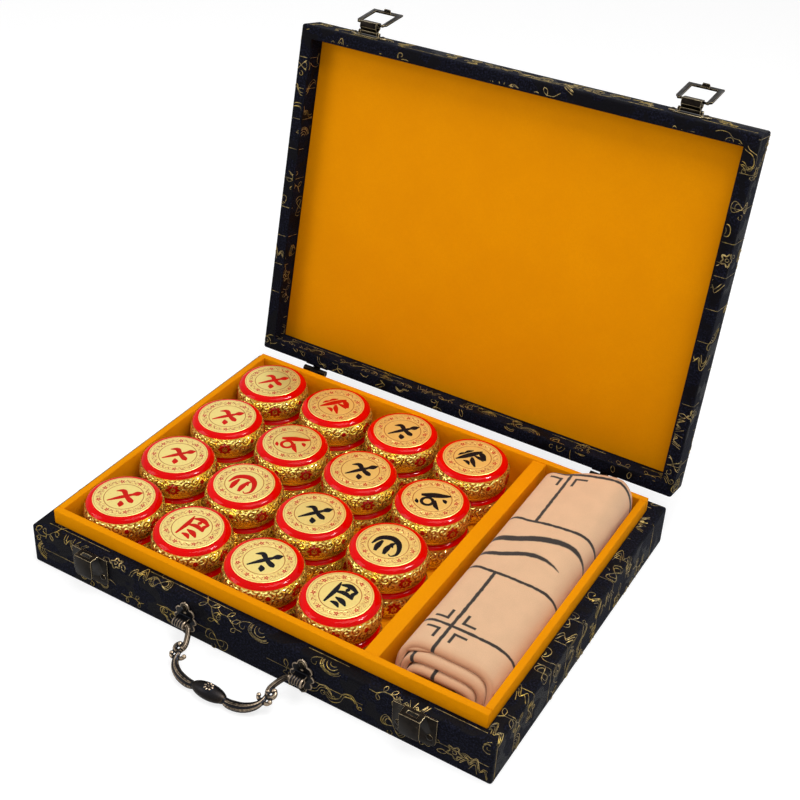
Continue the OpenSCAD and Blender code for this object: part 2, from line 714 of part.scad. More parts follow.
base_shell();
base_bottom();
liner_front();
liner_back();
liner_left();
liner_right();
tray_divider();
token_tray_floor();
mat_tray_floor();
lid_shell();
lid_lining();
hinge_base_leaves();
hinge_lid_leaves();
hinge_pins();
hinge_screws_base();
hinge_screws_lid();
latch_keepers();
keeper_screws();
latch_plates();
latch_plate_screws();
latch_lever_left();
latch_lever_right();
latch_loop_left();
latch_loop_right();
handle_bail();
handle_mounts();
handle_nails();
playing_mat();
for (t = TOKENS) token(t[1], t[2], t[3], t[4]);
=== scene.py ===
"""Looks of a cloth-covered chess case with its metalwork, turned tokens and rolled cloth mat."""

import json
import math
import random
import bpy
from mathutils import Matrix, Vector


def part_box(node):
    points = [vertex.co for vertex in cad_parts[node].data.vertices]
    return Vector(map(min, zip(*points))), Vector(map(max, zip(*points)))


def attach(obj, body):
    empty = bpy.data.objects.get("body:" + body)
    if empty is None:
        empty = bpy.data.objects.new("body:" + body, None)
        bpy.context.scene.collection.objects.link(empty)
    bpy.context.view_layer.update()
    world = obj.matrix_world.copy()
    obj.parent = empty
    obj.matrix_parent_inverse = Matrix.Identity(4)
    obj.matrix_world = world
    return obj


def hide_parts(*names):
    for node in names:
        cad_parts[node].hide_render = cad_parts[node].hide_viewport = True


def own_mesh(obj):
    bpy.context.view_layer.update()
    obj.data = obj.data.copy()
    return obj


bl_info = {
    "name": "Chess Case Looks",
    "version": (1, 0, 0),
    "blender": (4, 5, 0),
    "location": "View3D > Sidebar > Chess Case",
    "description": "Dresses a brocade chess case, its aged bronze, gilt tokens and rolled mat",
    "category": "Object",
}

import bmesh
import bpy
import numpy as np
from bpy.props import FloatProperty, FloatVectorProperty, IntProperty, PointerProperty
from mathutils import Matrix, Vector, noise

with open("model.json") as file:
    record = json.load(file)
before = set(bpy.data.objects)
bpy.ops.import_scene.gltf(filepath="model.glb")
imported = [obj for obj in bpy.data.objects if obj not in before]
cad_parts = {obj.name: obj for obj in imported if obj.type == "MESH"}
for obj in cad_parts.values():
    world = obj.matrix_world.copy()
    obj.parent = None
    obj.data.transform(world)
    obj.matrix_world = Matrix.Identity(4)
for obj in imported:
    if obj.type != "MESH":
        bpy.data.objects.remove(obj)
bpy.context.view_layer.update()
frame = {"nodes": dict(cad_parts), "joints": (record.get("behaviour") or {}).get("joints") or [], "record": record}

MM = 0.001
# Points of a mesh nearer than this are one point
WELD = 0.002 * MM
JOINTS = {joint["name"]: joint for joint in frame["joints"]}
BODIES = frame["record"]["behaviour"]["bodies"]
HINGE = Vector(JOINTS["lid_hinge"]["pos_m"])
OPEN_ANGLE = math.radians(-JOINTS["lid_hinge"]["range_deg"][0])
# Turns the closed lid about its hinge to where it stands open, and back
OPENED = Matrix.Translation(HINGE) @ Matrix.Rotation(-OPEN_ANGLE, 4, "X") @ Matrix.Translation(-HINGE)
CLOSED = OPENED.inverted()


def colour(code):
    """The linear colour of a hex code such as #1d1d2b."""
    parts = [int(code[i : i + 2], 16) / 255 for i in (1, 3, 5)]
    return tuple(c / 12.92 if c <= 0.04045 else ((c + 0.055) / 1.055) ** 2.4 for c in parts)


def shade(name, description, code):
    """A colour property whose default is a hex code."""
    return FloatVectorProperty(name=name, description=description, subtype="COLOR",
                               min=0, max=1, default=colour(code))


def size(name, description, millimetres):
    """A length property whose default is given in millimetres."""
    return FloatProperty(name=name, description=description, subtype="DISTANCE",
                         unit="LENGTH", precision=5, default=millimetres * MM)


def number(name, description, default, low=-1e6):
    """A property for a plain number that has a least value."""
    return FloatProperty(name=name, description=description, default=default, min=low)


def power(name, description, watts):
    """A property for the power of a lamp."""
    return FloatProperty(name=name, description=description, subtype="POWER", default=watts, min=0)


def times(tint, factor):
    """A colour made darker or lighter."""
    return tuple(part * factor for part in tint)


class CaseLooks(bpy.types.PropertyGroup):
    """Cloth, gold thread and board lining of the case"""
    wall: size("Wall", "Thickness of the covered wall boards", 8)
    edge: size("Cloth edge", "Rounding of the cloth over the boards' outer edges", 1.5)
    inner_edge: size("Inner edge", "Rounding of the cloth over the boards' inner edges", 0.6)
    board_edge: size("Board edge", "Rounding of the lined boards' edges", 0.5)
    thread: size("Thread", "Thickness of the gold thread", 0.6)
    thread_sink: size("Thread sink", "Depth of the thread's middle under the cloth", 0.17)
    rim_gap: size("Rim gap", "How far the cloth lies back from the faces where lid and base meet", 0.15)
    motif_pitch: size("Motif pitch", "Distance from one woven motif to the next", 15.0)
    rule_pitch: size("Rule pitch", "Distance from one straight woven rule to the next", 19)
    seed: IntProperty(name="Seed", description="Chooses the layout of the motifs", default=11, min=0)
    navy: shade("Navy", "Colour of the cloth's ground", "#11121e")
    satin: shade("Satin", "Colour of the cloth's darker figures", "#060508")
    gold: shade("Gold", "Colour of the gold thread", "#c6a850")
    lining: shade("Lining", "Colour of the lined boards", "#e99300")


class MetalLooks(bpy.types.PropertyGroup):
    """Aged bronze of the hinges, latches and handle"""
    edge: size("Edge", "Rounding of the stamped sheet's edges", 0.22)
    petal: size("Petal", "Half width of a petal of the flower on the grip", 0.72)
    grip_half: size("Grip half", "Half the length of the plump grip", 10.5)
    grip_depth: size("Grip depth", "Half the depth of the plump grip", 4.6)
    grip_rise: size("Grip rise", "Half the height of the plump grip", 3.9)
    cast_grain: size("Cast grain", "Size of the facets from which the cast handle is smoothed", 0.3)
    dark: shade("Dark", "Colour of the aged bronze", "#1f1913")
    bright: shade("Bright", "Colour of the bronze where it is rubbed bright", "#c8b48c")
    pewter: shade("Pewter", "Colour of the handle's rubbed ridges", "#978672")
    blue: shade("Blue", "Colour of the handle's darkened hollows", "#1a1b20")


class TokenLooks(bpy.types.PropertyGroup):
    """Gilding, enamel and rank signs of the tokens"""
    disc_inset: size("Disc inset", "From the flat disc to the token's widest edge", 5.3)
    band_inset: size("Band inset", "From the enamel band to the token's widest edge", 1.6)
    lip_inset: size("Lip inset", "From the lip to the token's widest edge", 2.9)
    lip_height: size("Lip height", "Height of the lip under the bulge", 1.2)
    bulge: size("Bulge", "How far the side bulges past its edges", 1.9)
    band_drop: size("Band drop", "Drop of the band from the disc to its outer edge", 2.4)
    band_crown: size("Band crown", "Rounding of the band", 0.55)
    disc_step: size("Disc step", "Height of the disc above the band's inner edge", 0.3)
    relief: size("Relief", "Depth of the embossing on the side", 0.5)
    mark_size: size("Mark size", "Half width of a rank sign", 9.0)
    mark_height: size("Mark height", "Height of the painted strokes", 0.16)
    brush: number("Brush", "Boldness of the painted strokes", 1.5, 0.2)
    steps: IntProperty(name="Steps", description="Facets round a token", default=288, min=48)
    gold: shade("Gold", "Colour of the embossed side", "#f2df78")
    disc: shade("Disc", "Colour of the flat disc", "#f8e28a")
    # Painted shade: the gilding turns to this colour in the hollows of its relief
    hollow: shade("Hollow", "Colour of the gilding's hollows", "#954e0b")
    enamel: shade("Enamel", "Colour of the enamel band", "#e40000")
    red: shade("Red sign", "Colour of the red side's signs", "#cc1404")
    black: shade("Black sign", "Colour of the black side's signs", "#15151b")


class MatLooks(bpy.types.PropertyGroup):
    """Size, folding and drawing of the cloth mat"""
    width: size("Width", "Width of the flat mat, along which it is rolled", 420)
    length: size("Length", "Length of the flat mat, which is folded in three", 470)
    thickness: size("Thickness", "Thickness of the cloth", 1.1)
    spacing: size("Spacing", "Distance between the three folded layers", 1.15)
    fold_radius: size("Fold radius", "Radius of the puffed folds at the ends", 1.25)
    front_flap: size("Front flap", "Length folded in at the front", 131.7)
    turns: number("Turns", "How often the cloth goes round", 3.6, 1)
    outer_end: FloatProperty(name="Outer end", description="Where the roll's outer end lies",
                             subtype="ANGLE", default=math.radians(-163))
    turn_pitch: size("Turn pitch", "Growth of the roll with each turn", 3.7)
    puff: size("Puff", "How far the soft roll stands above its firm core", 3.2)
    heave: size("Heave", "How much the far right corner stands up", 15)
    undercut: size("Undercut", "How far the front end's lower left is drawn in", 7)
    recess: size("Recess", "How far the top of the front end is drawn back", 16.5)
    slope: size("Slope", "How much lower the roll's right side lies", 2.2)
    valley: size("Valley", "Depth of the hollow along the roll", 1.3)
    cell: size("Cell", "Width of one square of the board", 47)
    line: size("Line", "Width of the drawn lines", 1.9)
    felt: shade("Felt", "Colour of the cloth", "#e3b890")
    # Painted shade: the felt darkens to this colour in the folds at the roll's front and back ends
    edge: shade("Edge", "Colour of the cloth in its folds", "#bd7c55")
    ink: shade("Ink", "Colour of the drawn lines", "#2b221c")


class StageLooks(bpy.types.PropertyGroup):
    """Camera, floor and lamps"""
    place: FloatVectorProperty(name="Camera place", description="Where the camera stands",
                               subtype="TRANSLATION", unit="LENGTH", precision=5,
                               default=(0.308376, -0.509705, 0.507313))
    turn: FloatVectorProperty(name="Camera turn", description="How the camera is turned",
                              subtype="EULER", unit="ROTATION",
                              default=tuple(math.radians(a) for a in (57.9414, -2.06827, 31.63074)))
    lens: number("Lens", "Focal length in millimetres", 61.402, 1)
    shift_x: number("Shift X", "Sideways shift of the lens", 0.02628)
    shift_y: number("Shift Y", "Upward shift of the lens", -0.06244)
    top_light: power("Top light", "Power of the overhead softbox", 10.0)
    left_light: power("Left light", "Power of the softbox on the left", 9.0)
    front_light: power("Front light", "Power of the softbox in front", 2.3)
    shine: power("Shine", "Power of the panel that only polish mirrors", 22.0)
    sky: number("Sky", "Strength of the surrounding light", 0.42, 0)
    horizon: number("Horizon", "Extra white that the camera sees beyond the floor", 0.11, 0)
    floor_glow: number("Floor glow", "White that the camera sees in the floor", 1.25, 0)
    glow_share: FloatProperty(name="Glow share", description="Share of the floor that glows",
                              default=0.6, min=0, max=1)
    floor: shade("Floor", "Colour of the floor", "#f7f7f7")


def as_node(operation, swapped=False):
    """One of Wire's operators."""

    def add_node(wire, *others):
        values = (*others, wire) if swapped else (wire, *others)
        return wire.finish.maths(operation, *values)

    return add_node


class Wire:
    """A shader socket that takes part in arithmetic: each operator adds the Math node for it."""

    def __init__(self, finish, socket):
        self.finish = finish
        self.socket = socket

    __add__ = as_node("ADD")
    __sub__ = as_node("SUBTRACT")
    __rsub__ = as_node("SUBTRACT", True)
    __mul__ = as_node("MULTIPLY")
    __truediv__ = as_node("DIVIDE")
    __pow__ = as_node("POWER")
    __abs__ = as_node("ABSOLUTE")
    __lt__ = as_node("LESS_THAN")
    __gt__ = as_node("GREATER_THAN")


class Finish:
    """A material or a world that is built node by node."""

    def __init__(self, name, kind="materials"):
        self.owner = getattr(bpy.data, kind).new(name)
        self.owner.use_nodes = True
        self.tree = self.owner.node_tree
        self.tree.nodes.clear()

    def node(self, kind, settings=None, values=None, output=0):
        """Adds a node: its settings are set first, then the values or links of its sockets."""
        made = self.tree.nodes.new("ShaderNode" + kind)
        for key, value in (settings or {}).items():
            setattr(made, key, value)
        for key, value in (values or {}).items():
            socket = made.inputs[key]
            if isinstance(value, Wire):
                self.tree.links.new(value.socket, socket)
            elif socket.type == "RGBA":
                socket.default_value = (*value, 1)
            else:
                socket.default_value = value
        return Wire(self, made.outputs[output]) if made.outputs else made

    def maths(self, operation, *values):
        return self.node("Math", {"operation": operation}, dict(enumerate(values)))

    def most(self, first, *others):
        """The greatest of the values."""
        for other in others:
            first = self.maths("MAXIMUM", first, other)
        return first

    def mix(self, share, first, second):
        """The first colour where share is 0 and the second where it is 1."""
        return self.node("Mix", {"data_type": "RGBA"}, {0: share, 6: first, 7: second}, 2)

    def soft(self, value, low, high, start=0.0, end=1.0):
        """A smooth rise from start to end as value goes from low to high."""
        return self.node("MapRange", {"interpolation_type": "SMOOTHSTEP"},
                         {0: value, 1: low, 2: high, 3: start, 4: end})

    def line(self, distance, half_width, blur):
        """1 on a line, where distance is measured from its middle."""
        return self.soft(abs(distance), half_width - blur, half_width + blur, 1.0, 0.0)

    def map_of(self):
        """The U and V of a piece's own map, in metres."""
        split = self.node("SeparateXYZ", None, {0: self.node("UVMap", {"uv_map": "face"})}).socket.node
        return Wire(self, split.outputs[0]), Wire(self, split.outputs[1])

    def point(self, x, y):
        """A point of a flat map."""
        return self.node("CombineXYZ", None, {0: x, 1: y})

    def place(self):
        """The point in the frame of the piece."""
        return self.node("TexCoord", None, None, 3)

    def noise(self, where, scale, detail=2.0, roughness=0.5):
        return self.node("TexNoise", None, {"Vector": where, "Scale": scale, "Detail": detail,
                                            "Roughness": roughness})

    def attribute(self, name):
        """A value that the mesh carries at its points or faces."""
        return self.node("Attribute", {"attribute_name": name}, None, 2)

    def bump(self, height, distance, strength=1.0):
        """The normal of a surface that stands up by distance where height is 1."""
        return self.node("Bump", None, {"Strength": strength, "Distance": distance, "Height": height})

    def surface(self, **values):
        """Ends the material with its shader; underscores stand for the spaces of socket names."""
        named = {key.replace("_", " "): value for key, value in values.items()}
        return self.shown(self.node("BsdfPrincipled", None, named))

    def shown(self, shader):
        """Ends the material with a finished shader."""
        self.node("OutputMaterial", None, {0: shader})
        return self.owner


def brocade_cloth(looks):
    """Navy twill with darker satin figures."""
    f = Finish("brocade_cloth")
    u, v = f.map_of()
    across = f.point(u, v)
    twill_pitch, weft_pitch = 0.9 * MM, 0.55 * MM
    twill = f.maths("SINE", (u + v) * (math.tau / twill_pitch))
    weft = f.maths("SINE", (u - v) * (math.tau / weft_pitch))
    grain = f.noise(across, 900, 3, 0.7)
    figures = f.soft(f.noise(across, 85, 1), 0.5, 0.53)
    figures = figures * f.soft(f.noise(across, 21, 0), 0.42, 0.5)
    speck = f.soft(grain, 0.42, 0.75)
    ground = f.mix(speck, times(looks.navy, 0.25), times(looks.navy, 2.6))
    tint = f.mix(figures * 0.85, ground, looks.satin)
    height = twill * 0.5 + weft * 0.3 + grain * 2.0 - figures * 0.8
    return f.surface(Base_Color=tint, Roughness=f.soft(figures, 0, 1, 0.78, 0.5),
                     Normal=f.bump(height, 0.09 * MM, 0.7),
                     Specular_IOR_Level=0.05, Sheen_Weight=0.02, Sheen_Roughness=0.3,
                     Sheen_Tint=(0.55, 0.6, 0.8))


def gold_thread(looks):
    """Twisted metal thread, rubbed and dull in places."""
    f = Finish("gold_thread")
    where = f.place()
    worn = f.soft(f.noise(where, 260, 3, 0.7), 0.38, 0.68)
    patch = f.soft(f.noise(where, 45, 2), 0.36, 0.6)
    dull = times(looks.gold, 0.2)
    pale = (0.55, 0.5, 0.42)
    tint = f.mix(worn, dull, f.mix(patch * 0.25, looks.gold, pale))
    twist = f.noise(where, 1500, 1)
    return f.surface(Base_Color=tint, Metallic=f.soft(worn, 0, 1, 0.2, 0.8), Roughness=0.46,
                     Normal=f.bump(twist, 0.12 * MM))


def lined_board(looks):
    """Fine orange lining cloth pasted over board."""
    f = Finish("lined_board")
    u, v = f.map_of()
    across = f.point(u, v)
    slub = f.noise(f.point(u * 0.25, v), 1300, 2) + f.noise(f.point(u, v * 0.25), 1300, 2)
    cloud = f.noise(across, 26, 3, 0.6)
    base = looks.lining
    light = (min(1, base[0] * 1.04), base[1] * 1.06, base[2])
    dark = (base[0] * 0.93, base[1] * 0.88, base[2] * 0.6)
    tint = f.mix(f.soft(cloud, 0.2, 0.8) * 0.5 + 0.3, dark, light)
    tint = f.mix(f.soft(slub, 0.75, 1.25) * 0.35, tint, dark)
    return f.surface(Base_Color=tint, Roughness=0.75, Specular_IOR_Level=0.03,
                     Normal=f.bump(slub, 0.08 * MM, 0.7))


def aged_bronze(looks, name="aged_bronze", cast=False):
    """Dark bronze that is rubbed bright on its edges."""
    f = Finish(name)
    where = f.place()
    stain = f.noise(where, 240, 4, 0.65)
    fine = f.noise(where, 1400, 2)
    worn = f.attribute("worn")
    if cast:
        rubbed = f.soft(worn + (stain - 0.5) * 0.35, 0.5, 0.85)
        body = f.mix(f.soft(worn, 0.2, 0.55), looks.blue, looks.dark)
    else:
        rubbed = f.soft(worn, 0.2, 0.8) * f.soft(stain, 0.25, 0.5) + f.soft(stain, 0.62, 0.8) * 0.15
        body = f.mix(f.soft(stain, 0.35, 0.7), times(looks.dark, 0.45), looks.dark)
    tint = f.mix(rubbed, body, looks.pewter if cast else looks.bright)
    return f.surface(Base_Color=tint, Metallic=0.92, Roughness=f.soft(stain, 0.3, 0.7, 0.3, 0.5),
                     Normal=f.bump(stain + fine * 0.5, 0.05 * MM, 0.5))


def gilt_side(looks):
    """Embossed gilding with painted shade in the hollows of its relief, a painted highlight on its highest relief,
    and red enamel spots.
    """
    f = Finish("gilt_side")
    where = f.place()
    raised = f.attribute("raised")
    red = f.attribute("enamel")
    fine = f.noise(where, 900, 2)
    # Painted shade: gold where the relief stands high, the hollow colour where it lies low
    gilt = f.mix(f.soft(raised + (fine - 0.5) * 0.4, 0.08, 0.42), looks.hollow, looks.gold)
    # Painted highlight: a pale yellow laid on the highest points of the relief
    gilt = f.mix(f.soft(raised, 0.75, 1.05) * 0.6, gilt, (1.0, 0.86, 0.45))
    spots = f.soft(red + (fine - 0.5) * 0.3, 0.4, 0.6)
    tint = f.mix(spots, gilt, times(looks.enamel, 0.5))
    return f.surface(Base_Color=tint, Metallic=f.soft(spots, 0, 1, 0.88, 0.1), Roughness=0.22,
                     Normal=f.bump(fine, 0.12 * MM, 0.5))


def gilt_disc(looks):
    """The flat disc: a ring line round the sign, and a border of blossoms and scrolls."""
    f = Finish("gilt_disc")
    ring_at, border_at, rim_at = 10.9, 13.6, 16.4
    step = math.tau / 8
    brown, ochre, crimson = (0.4, 0.065, 0.0), (0.72, 0.42, 0.1), (0.5, 0.005, 0.0)
    x, y = f.map_of()
    where = f.point(x, y)
    far = f.maths("SQRT", x * x + y * y) / MM
    angle = f.maths("ARCTAN2", y, x)
    local = f.maths("PINGPONG", angle + math.tau, step / 2)
    turned = f.maths("FLOORED_MODULO", angle + math.tau + step / 2, step) - step / 2
    ring = f.line(far - ring_at, 0.22, 0.1)
    rim = f.line(far - rim_at, 0.14, 0.1)
    middle = far - border_at
    along = turned * border_at
    petal = f.maths("SQRT", along * along + middle * middle)
    round_blossom = f.maths("ARCTAN2", middle, along)
    blossom = f.soft(petal - f.maths("COSINE", round_blossom * 5) * 0.45, 1.05, 1.3, 1.0, 0.0)
    heart = f.soft(petal, 0.2, 0.4, 1.0, 0.0)
    warp = f.noise(where, 420, 2, 0.6) - 0.5
    wave = f.maths("SINE", angle * 24 + warp * 7)
    curl = f.maths("SINE", angle * 40 + middle * 2.6 + warp * 9)
    away = f.soft(petal, 1.5, 1.8)
    inside = f.line(middle, 1.9, 0.25)
    scroll = f.line(middle - wave * 0.95 + warp * 2.2, 0.3, 0.2)
    hooks = f.line(curl, 0.34, 0.2) * f.line(middle, 1.75, 0.1) * f.soft(local, 0.1, 0.16)
    lines = f.most(scroll, hooks * 0.7) * away * inside
    grains = f.soft(f.noise(where, 800, 2, 0.6), 0.53, 0.62)
    specks = grains * f.soft(far, ring_at, ring_at + 0.4, 0.15, 0.5)
    broken = f.soft(f.noise(where, 700, 2), 0.28, 0.42)
    red = blossom * (1 - heart) * broken
    tint = f.mix(specks, looks.disc, ochre)
    tint = f.mix(lines * broken, tint, brown)
    tint = f.mix(f.most(ring * 0.9, rim * 0.6), tint, brown)
    tint = f.mix(red, tint, crimson)
    height = 1 - f.most(lines, ring, blossom)
    return f.surface(Base_Color=tint, Metallic=f.soft(f.most(red, lines), 0, 1, 0.7, 0.1),
                     Roughness=0.36, Normal=f.bump(height + specks * 0.5, 0.1 * MM, 0.6))


def enamel(name, tint, gloss=0.08):
    """Glossy enamel paint with a faint orange-peel surface."""
    f = Finish(name)
    where = f.place()
    peel = f.noise(where, 160, 1)
    body = f.mix(f.soft(f.noise(where, 60, 2), 0.3, 0.7), times(tint, 0.88), tint)
    return f.surface(Base_Color=body, Roughness=gloss, Specular_IOR_Level=0.1,
                     Normal=f.bump(peel, 0.12 * MM, 0.3))


def inked_felt(looks):
    """The mat's cloth, with the board drawn on it from its own flat map, and painted shade in its folds."""
    f = Finish("inked_felt")
    across, along = f.map_of()
    files, ranks = 8, 9
    middle_file, middle_rank = files / 2, ranks / 2
    file_x = (across - (looks.width - files * looks.cell) / 2) / looks.cell
    rank_y = (along - (looks.length - ranks * looks.cell) / 2) / looks.cell
    half = looks.line / looks.cell / 2
    blur = 0.006
    where = f.point(across, along)
    wobble = (f.noise(where, 300, 2) - 0.5) * 0.02

    def grid(value):
        """Distance to the nearest whole number."""
        return abs(value - f.maths("ROUND", value)) + wobble

    def between(value, low, high):
        """1 where the value lies between low and high."""
        return (value > low) * (value < high)

    board = between(file_x, -half, files + half) * between(rank_y, -half, ranks + half)
    river = between(rank_y, middle_rank - 0.5 + half, middle_rank + 0.5 - half)
    inner = between(file_x, 0.5, files - 0.5)
    upright = f.line(grid(file_x), half, blur) * (1 - river * inner)
    lines = f.most(upright, f.line(grid(rank_y), half, blur)) * board

    def corners(file_wave, rank_value):
        """Four small L marks round each crossing that file_wave and rank_value choose."""
        dx = abs(file_wave)
        dy = abs(rank_value)
        gap, arm, pen = 0.095, 0.24, 0.017
        long_x = f.line(dy - gap, pen, blur) * between(dx, gap - pen, arm)
        long_y = f.line(dx - gap, pen, blur) * between(dy, gap - pen, arm)
        return f.most(long_x, long_y)

    even = abs(f.maths("WRAP", file_x, 1.0, -1.0))
    side = f.maths("PINGPONG", rank_y, middle_rank)
    from_middle = abs(file_x - middle_file)
    soldiers = corners(even, side - 3)
    cannons = corners(from_middle - 3, side - 2)
    palace_y = abs(side - 1)
    diagonal = f.line(from_middle - palace_y, half * 1.3, blur) * (from_middle < 1) * (palace_y < 1)
    lines = f.most(lines, f.most(soldiers, cannons) * board, diagonal)

    def stroke(start, end, height, lift, beats, weight):
        """A brush stroke that waves along the river and tapers at both ends."""
        share = (file_x - start) / (end - start)
        swell = f.maths("SINE", f.maths("MINIMUM", f.most(share, 0.0), 1.0) * math.pi)
        middle = f.maths("SINE", share * (math.tau * beats)) * lift + height
        beside = abs(rank_y - middle + wobble) - (swell ** 0.6) * weight
        return f.soft(beside, -0.01, 0.01, 1.0, 0.0) * between(share, 0, 1)

    for start, end, height, lift, beats, weight in (
            (1.1, 2.9, 4.66, 0.11, 1.0, 0.05), (1.4, 2.6, 4.36, 0.09, 1.0, 0.038),
            (2.55, 3.1, 4.52, 0.12, 0.5, 0.05), (4.9, 6.7, 4.66, 0.11, 1.0, 0.05),
            (5.3, 6.6, 4.36, 0.09, 1.0, 0.038), (6.5, 7.0, 4.52, 0.12, 0.5, 0.05),
            (3.3, 4.6, 4.42, 0.07, 1.0, 0.03)):
        lines = f.most(lines, stroke(start, end, height, lift, beats, weight))
    nap = f.noise(where, 1500, 3, 0.7)
    cloud = f.noise(where, 90, 2)
    # Painted shade: the folded mark darkens the felt towards the edge colour in the folds at the roll's ends
    folded = f.attribute("folded")
    mottle = f.soft(cloud, 0.3, 0.7) * 0.35 + f.soft(nap, 0.3, 0.75) * 0.45
    felt = f.mix(mottle, looks.felt, times(looks.felt, 0.86))
    felt = f.mix(folded, felt, looks.edge)
    tint = f.mix(lines * f.soft(nap, 0.1, 0.35), felt, looks.ink)
    return f.surface(Base_Color=tint, Roughness=0.92, Specular_IOR_Level=0.15,
                     Sheen_Weight=0.2, Sheen_Roughness=0.6,
                     Normal=f.bump(nap + cloud * 0.6, 0.22 * MM, 0.6))


def added(name, data):
    """A new object in the scene."""
    made = bpy.data.objects.new(name, data)
    bpy.context.scene.collection.objects.link(made)
    return made


def new_piece(name, mesh, body, materials, replaces=()):
    """Puts a finished mesh into the scene as a piece that rides on a body."""
    piece = added(name, mesh)
    for material in materials:
        mesh.materials.append(material)
    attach(piece, body)
    if replaces:
        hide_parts(*replaces)
    return piece


def plain_mesh(bm, name):
    """Ends a bmesh as a mesh."""
    mesh = bpy.data.meshes.new(name)
    bm.to_mesh(mesh)
    bm.free()
    return mesh


def to_mesh(bm, name, sharp=35):
    """Ends a bmesh as a mesh that is smooth except over edges sharper than the angle."""
    mesh = plain_mesh(bm, name)
    mesh.shade_smooth()
    mesh.set_sharp_from_angle(angle=math.radians(sharp))
    return mesh


def map_faces(bm, to_square=Matrix.Identity(4)):
    """Lays each face on the map along its own plane, in metres. to_square turns a leaning piece upright."""
    layer = bm.loops.layers.uv.verify()
    turn = to_square.to_3x3()
    for face in bm.faces:
        normal = turn @ face.normal
        axis = max(range(3), key=lambda i: abs(normal[i]))
        first, second = [i for i in range(3) if i != axis]
        for loop in face.loops:
            co = to_square @ loop.vert.co
            loop[layer].uv = (co[first], co[second])


def new_bmesh():
    """A bmesh with the map that the materials read."""
    bm = bmesh.new()
    bm.loops.layers.uv.new("face")
    return bm


def bevel(bm, edges, offset, segments):
    """Rounds edges and gives the new faces."""
    return bmesh.ops.bevel(bm, geom=edges, offset=offset, offset_type="OFFSET", affect="EDGES",
                           segments=segments, profile=0.5, material=-1, clamp_overlap=True)["faces"]


def body_of_node(node):
    """The moving body that a CAD node belongs to."""
    return next(body for body, nodes in BODIES.items() if node in nodes)


def closed_box(node):
    """The lowest and highest corner of one of the lid's nodes while the lid is shut."""
    points = [CLOSED @ vert.co for vert in frame["nodes"][node].data.vertices]
    return [Vector([pick(p[i] for p in points) for i in range(3)]) for pick in (min, max)]


def cad_copy(node):
    """A CAD node as a bmesh with its triangles joined into whole faces."""
    bm = new_bmesh()
    bm.from_mesh(frame["nodes"][node].data)
    bmesh.ops.remove_doubles(bm, verts=bm.verts, dist=WELD)
    bmesh.ops.dissolve_limit(bm, angle_limit=math.radians(0.6), verts=bm.verts, edges=bm.edges)
    return bm


def sharp_edges(bm, angle=32):
    """The edges whose two faces turn by more than the angle."""
    limit = math.radians(angle)
    return [e for e in bm.edges if len(e.link_faces) == 2 and e.calc_face_angle(0) > limit]


def rounded_copy(node, name, offset, material, segments=2, to_square=Matrix.Identity(4)):
    """A CAD node with its edges rounded, and the rounding marked as worn."""
    bm = cad_copy(node)
    worn = bm.faces.layers.float.new("worn")
    for face in bevel(bm, sharp_edges(bm), offset, segments):
        face[worn] = 1.0
    map_faces(bm, to_square)
    return new_piece(name, to_mesh(bm, name), body_of_node(node), [material], [node])


def lift_faces(bm, faces, rise):
    """Extrudes the faces straight up."""
    made = bmesh.ops.extrude_face_region(bm, geom=faces)["geom"]
    verts = [v for v in made if isinstance(v, bmesh.types.BMVert)]
    bmesh.ops.translate(bm, vec=(0, 0, rise), verts=verts)


def cloth_ring(low, high, inset):
    """The covered wall boards of the base: a box open above and below."""
    bm = new_bmesh()
    bmesh.ops.create_grid(bm, x_segments=1, y_segments=1, size=0.5)
    bmesh.ops.scale(bm, vec=(high.x - low.x, high.y - low.y, 1), verts=bm.verts)
    outer = list(bm.faces)
    bmesh.ops.inset_region(bm, faces=outer, thickness=inset, use_boundary=True, use_even_offset=True)
    bmesh.ops.delete(bm, geom=outer, context="FACES")
    lift_faces(bm, list(bm.faces), high.z - low.z)
    bmesh.ops.translate(bm, vec=((low.x + high.x) / 2, (low.y + high.y) / 2, low.z), verts=bm.verts)
    bmesh.ops.recalc_face_normals(bm, faces=bm.faces)
    return bm


def cloth_tray(low, high, wall, depth):
    """The covered lid while it is shut: a box with a recess in its underside."""
    bm = new_bmesh()
    bmesh.ops.create_cube(bm, size=1)
    bmesh.ops.scale(bm, vec=high - low, verts=bm.verts)
    bmesh.ops.translate(bm, vec=(low + high) / 2, verts=bm.verts)
    under = [face for face in bm.faces if face.normal.z < -0.9]
    bmesh.ops.inset_region(bm, faces=under, thickness=wall, use_even_offset=True)
    lift_faces(bm, under, depth)
    bmesh.ops.delete(bm, geom=under, context="FACES")
    bmesh.ops.recalc_face_normals(bm, faces=bm.faces)
    return bm


def round_cloth(bm, low, high, outer, inner):
    """Rounds the cloth over the boards: more on the outside edges than on the inner ones."""
    bm.normal_update()

    def outside(edge):
        """Whether an edge lies on one of the four outer faces."""
        middle = sum((v.co for v in edge.verts), Vector()) / 2
        return any(abs(middle[axis] - side[axis]) < 0.1 * MM for side in (low, high) for axis in (0, 1))

    bevel(bm, [e for e in sharp_edges(bm) if e.is_convex and not outside(e)], inner, segments=3)
    bevel(bm, [e for e in sharp_edges(bm, 60) if e.is_convex and outside(e)], outer, segments=5)


# Distance between the points of a thread, in millimetres
POINT_GAP = 0.9


def spline(points, steps=5):
    """A smooth line through the given points."""
    p = np.array(points, float)
    padded = np.vstack([2 * p[0] - p[1], p, 2 * p[-1] - p[-2]])
    made = []
    for a, b, c, d in zip(padded, padded[1:], padded[2:], padded[3:]):
        for t in np.arange(steps) / steps:
            made.append(0.5 * (2 * b + (c - a) * t + (2 * a - 5 * b + 4 * c - d) * t * t
                               + (3 * b - 3 * c + d - a) * t ** 3))
    made.append(p[-1])
    return np.array(made)


def moved(line, turn, x, y, grow=1.0):
    """A line turned about the origin, scaled and moved to x, y."""
    c, s = grow * math.cos(turn), grow * math.sin(turn)
    return line @ np.array([[c, s], [-s, c]]) + (x, y)


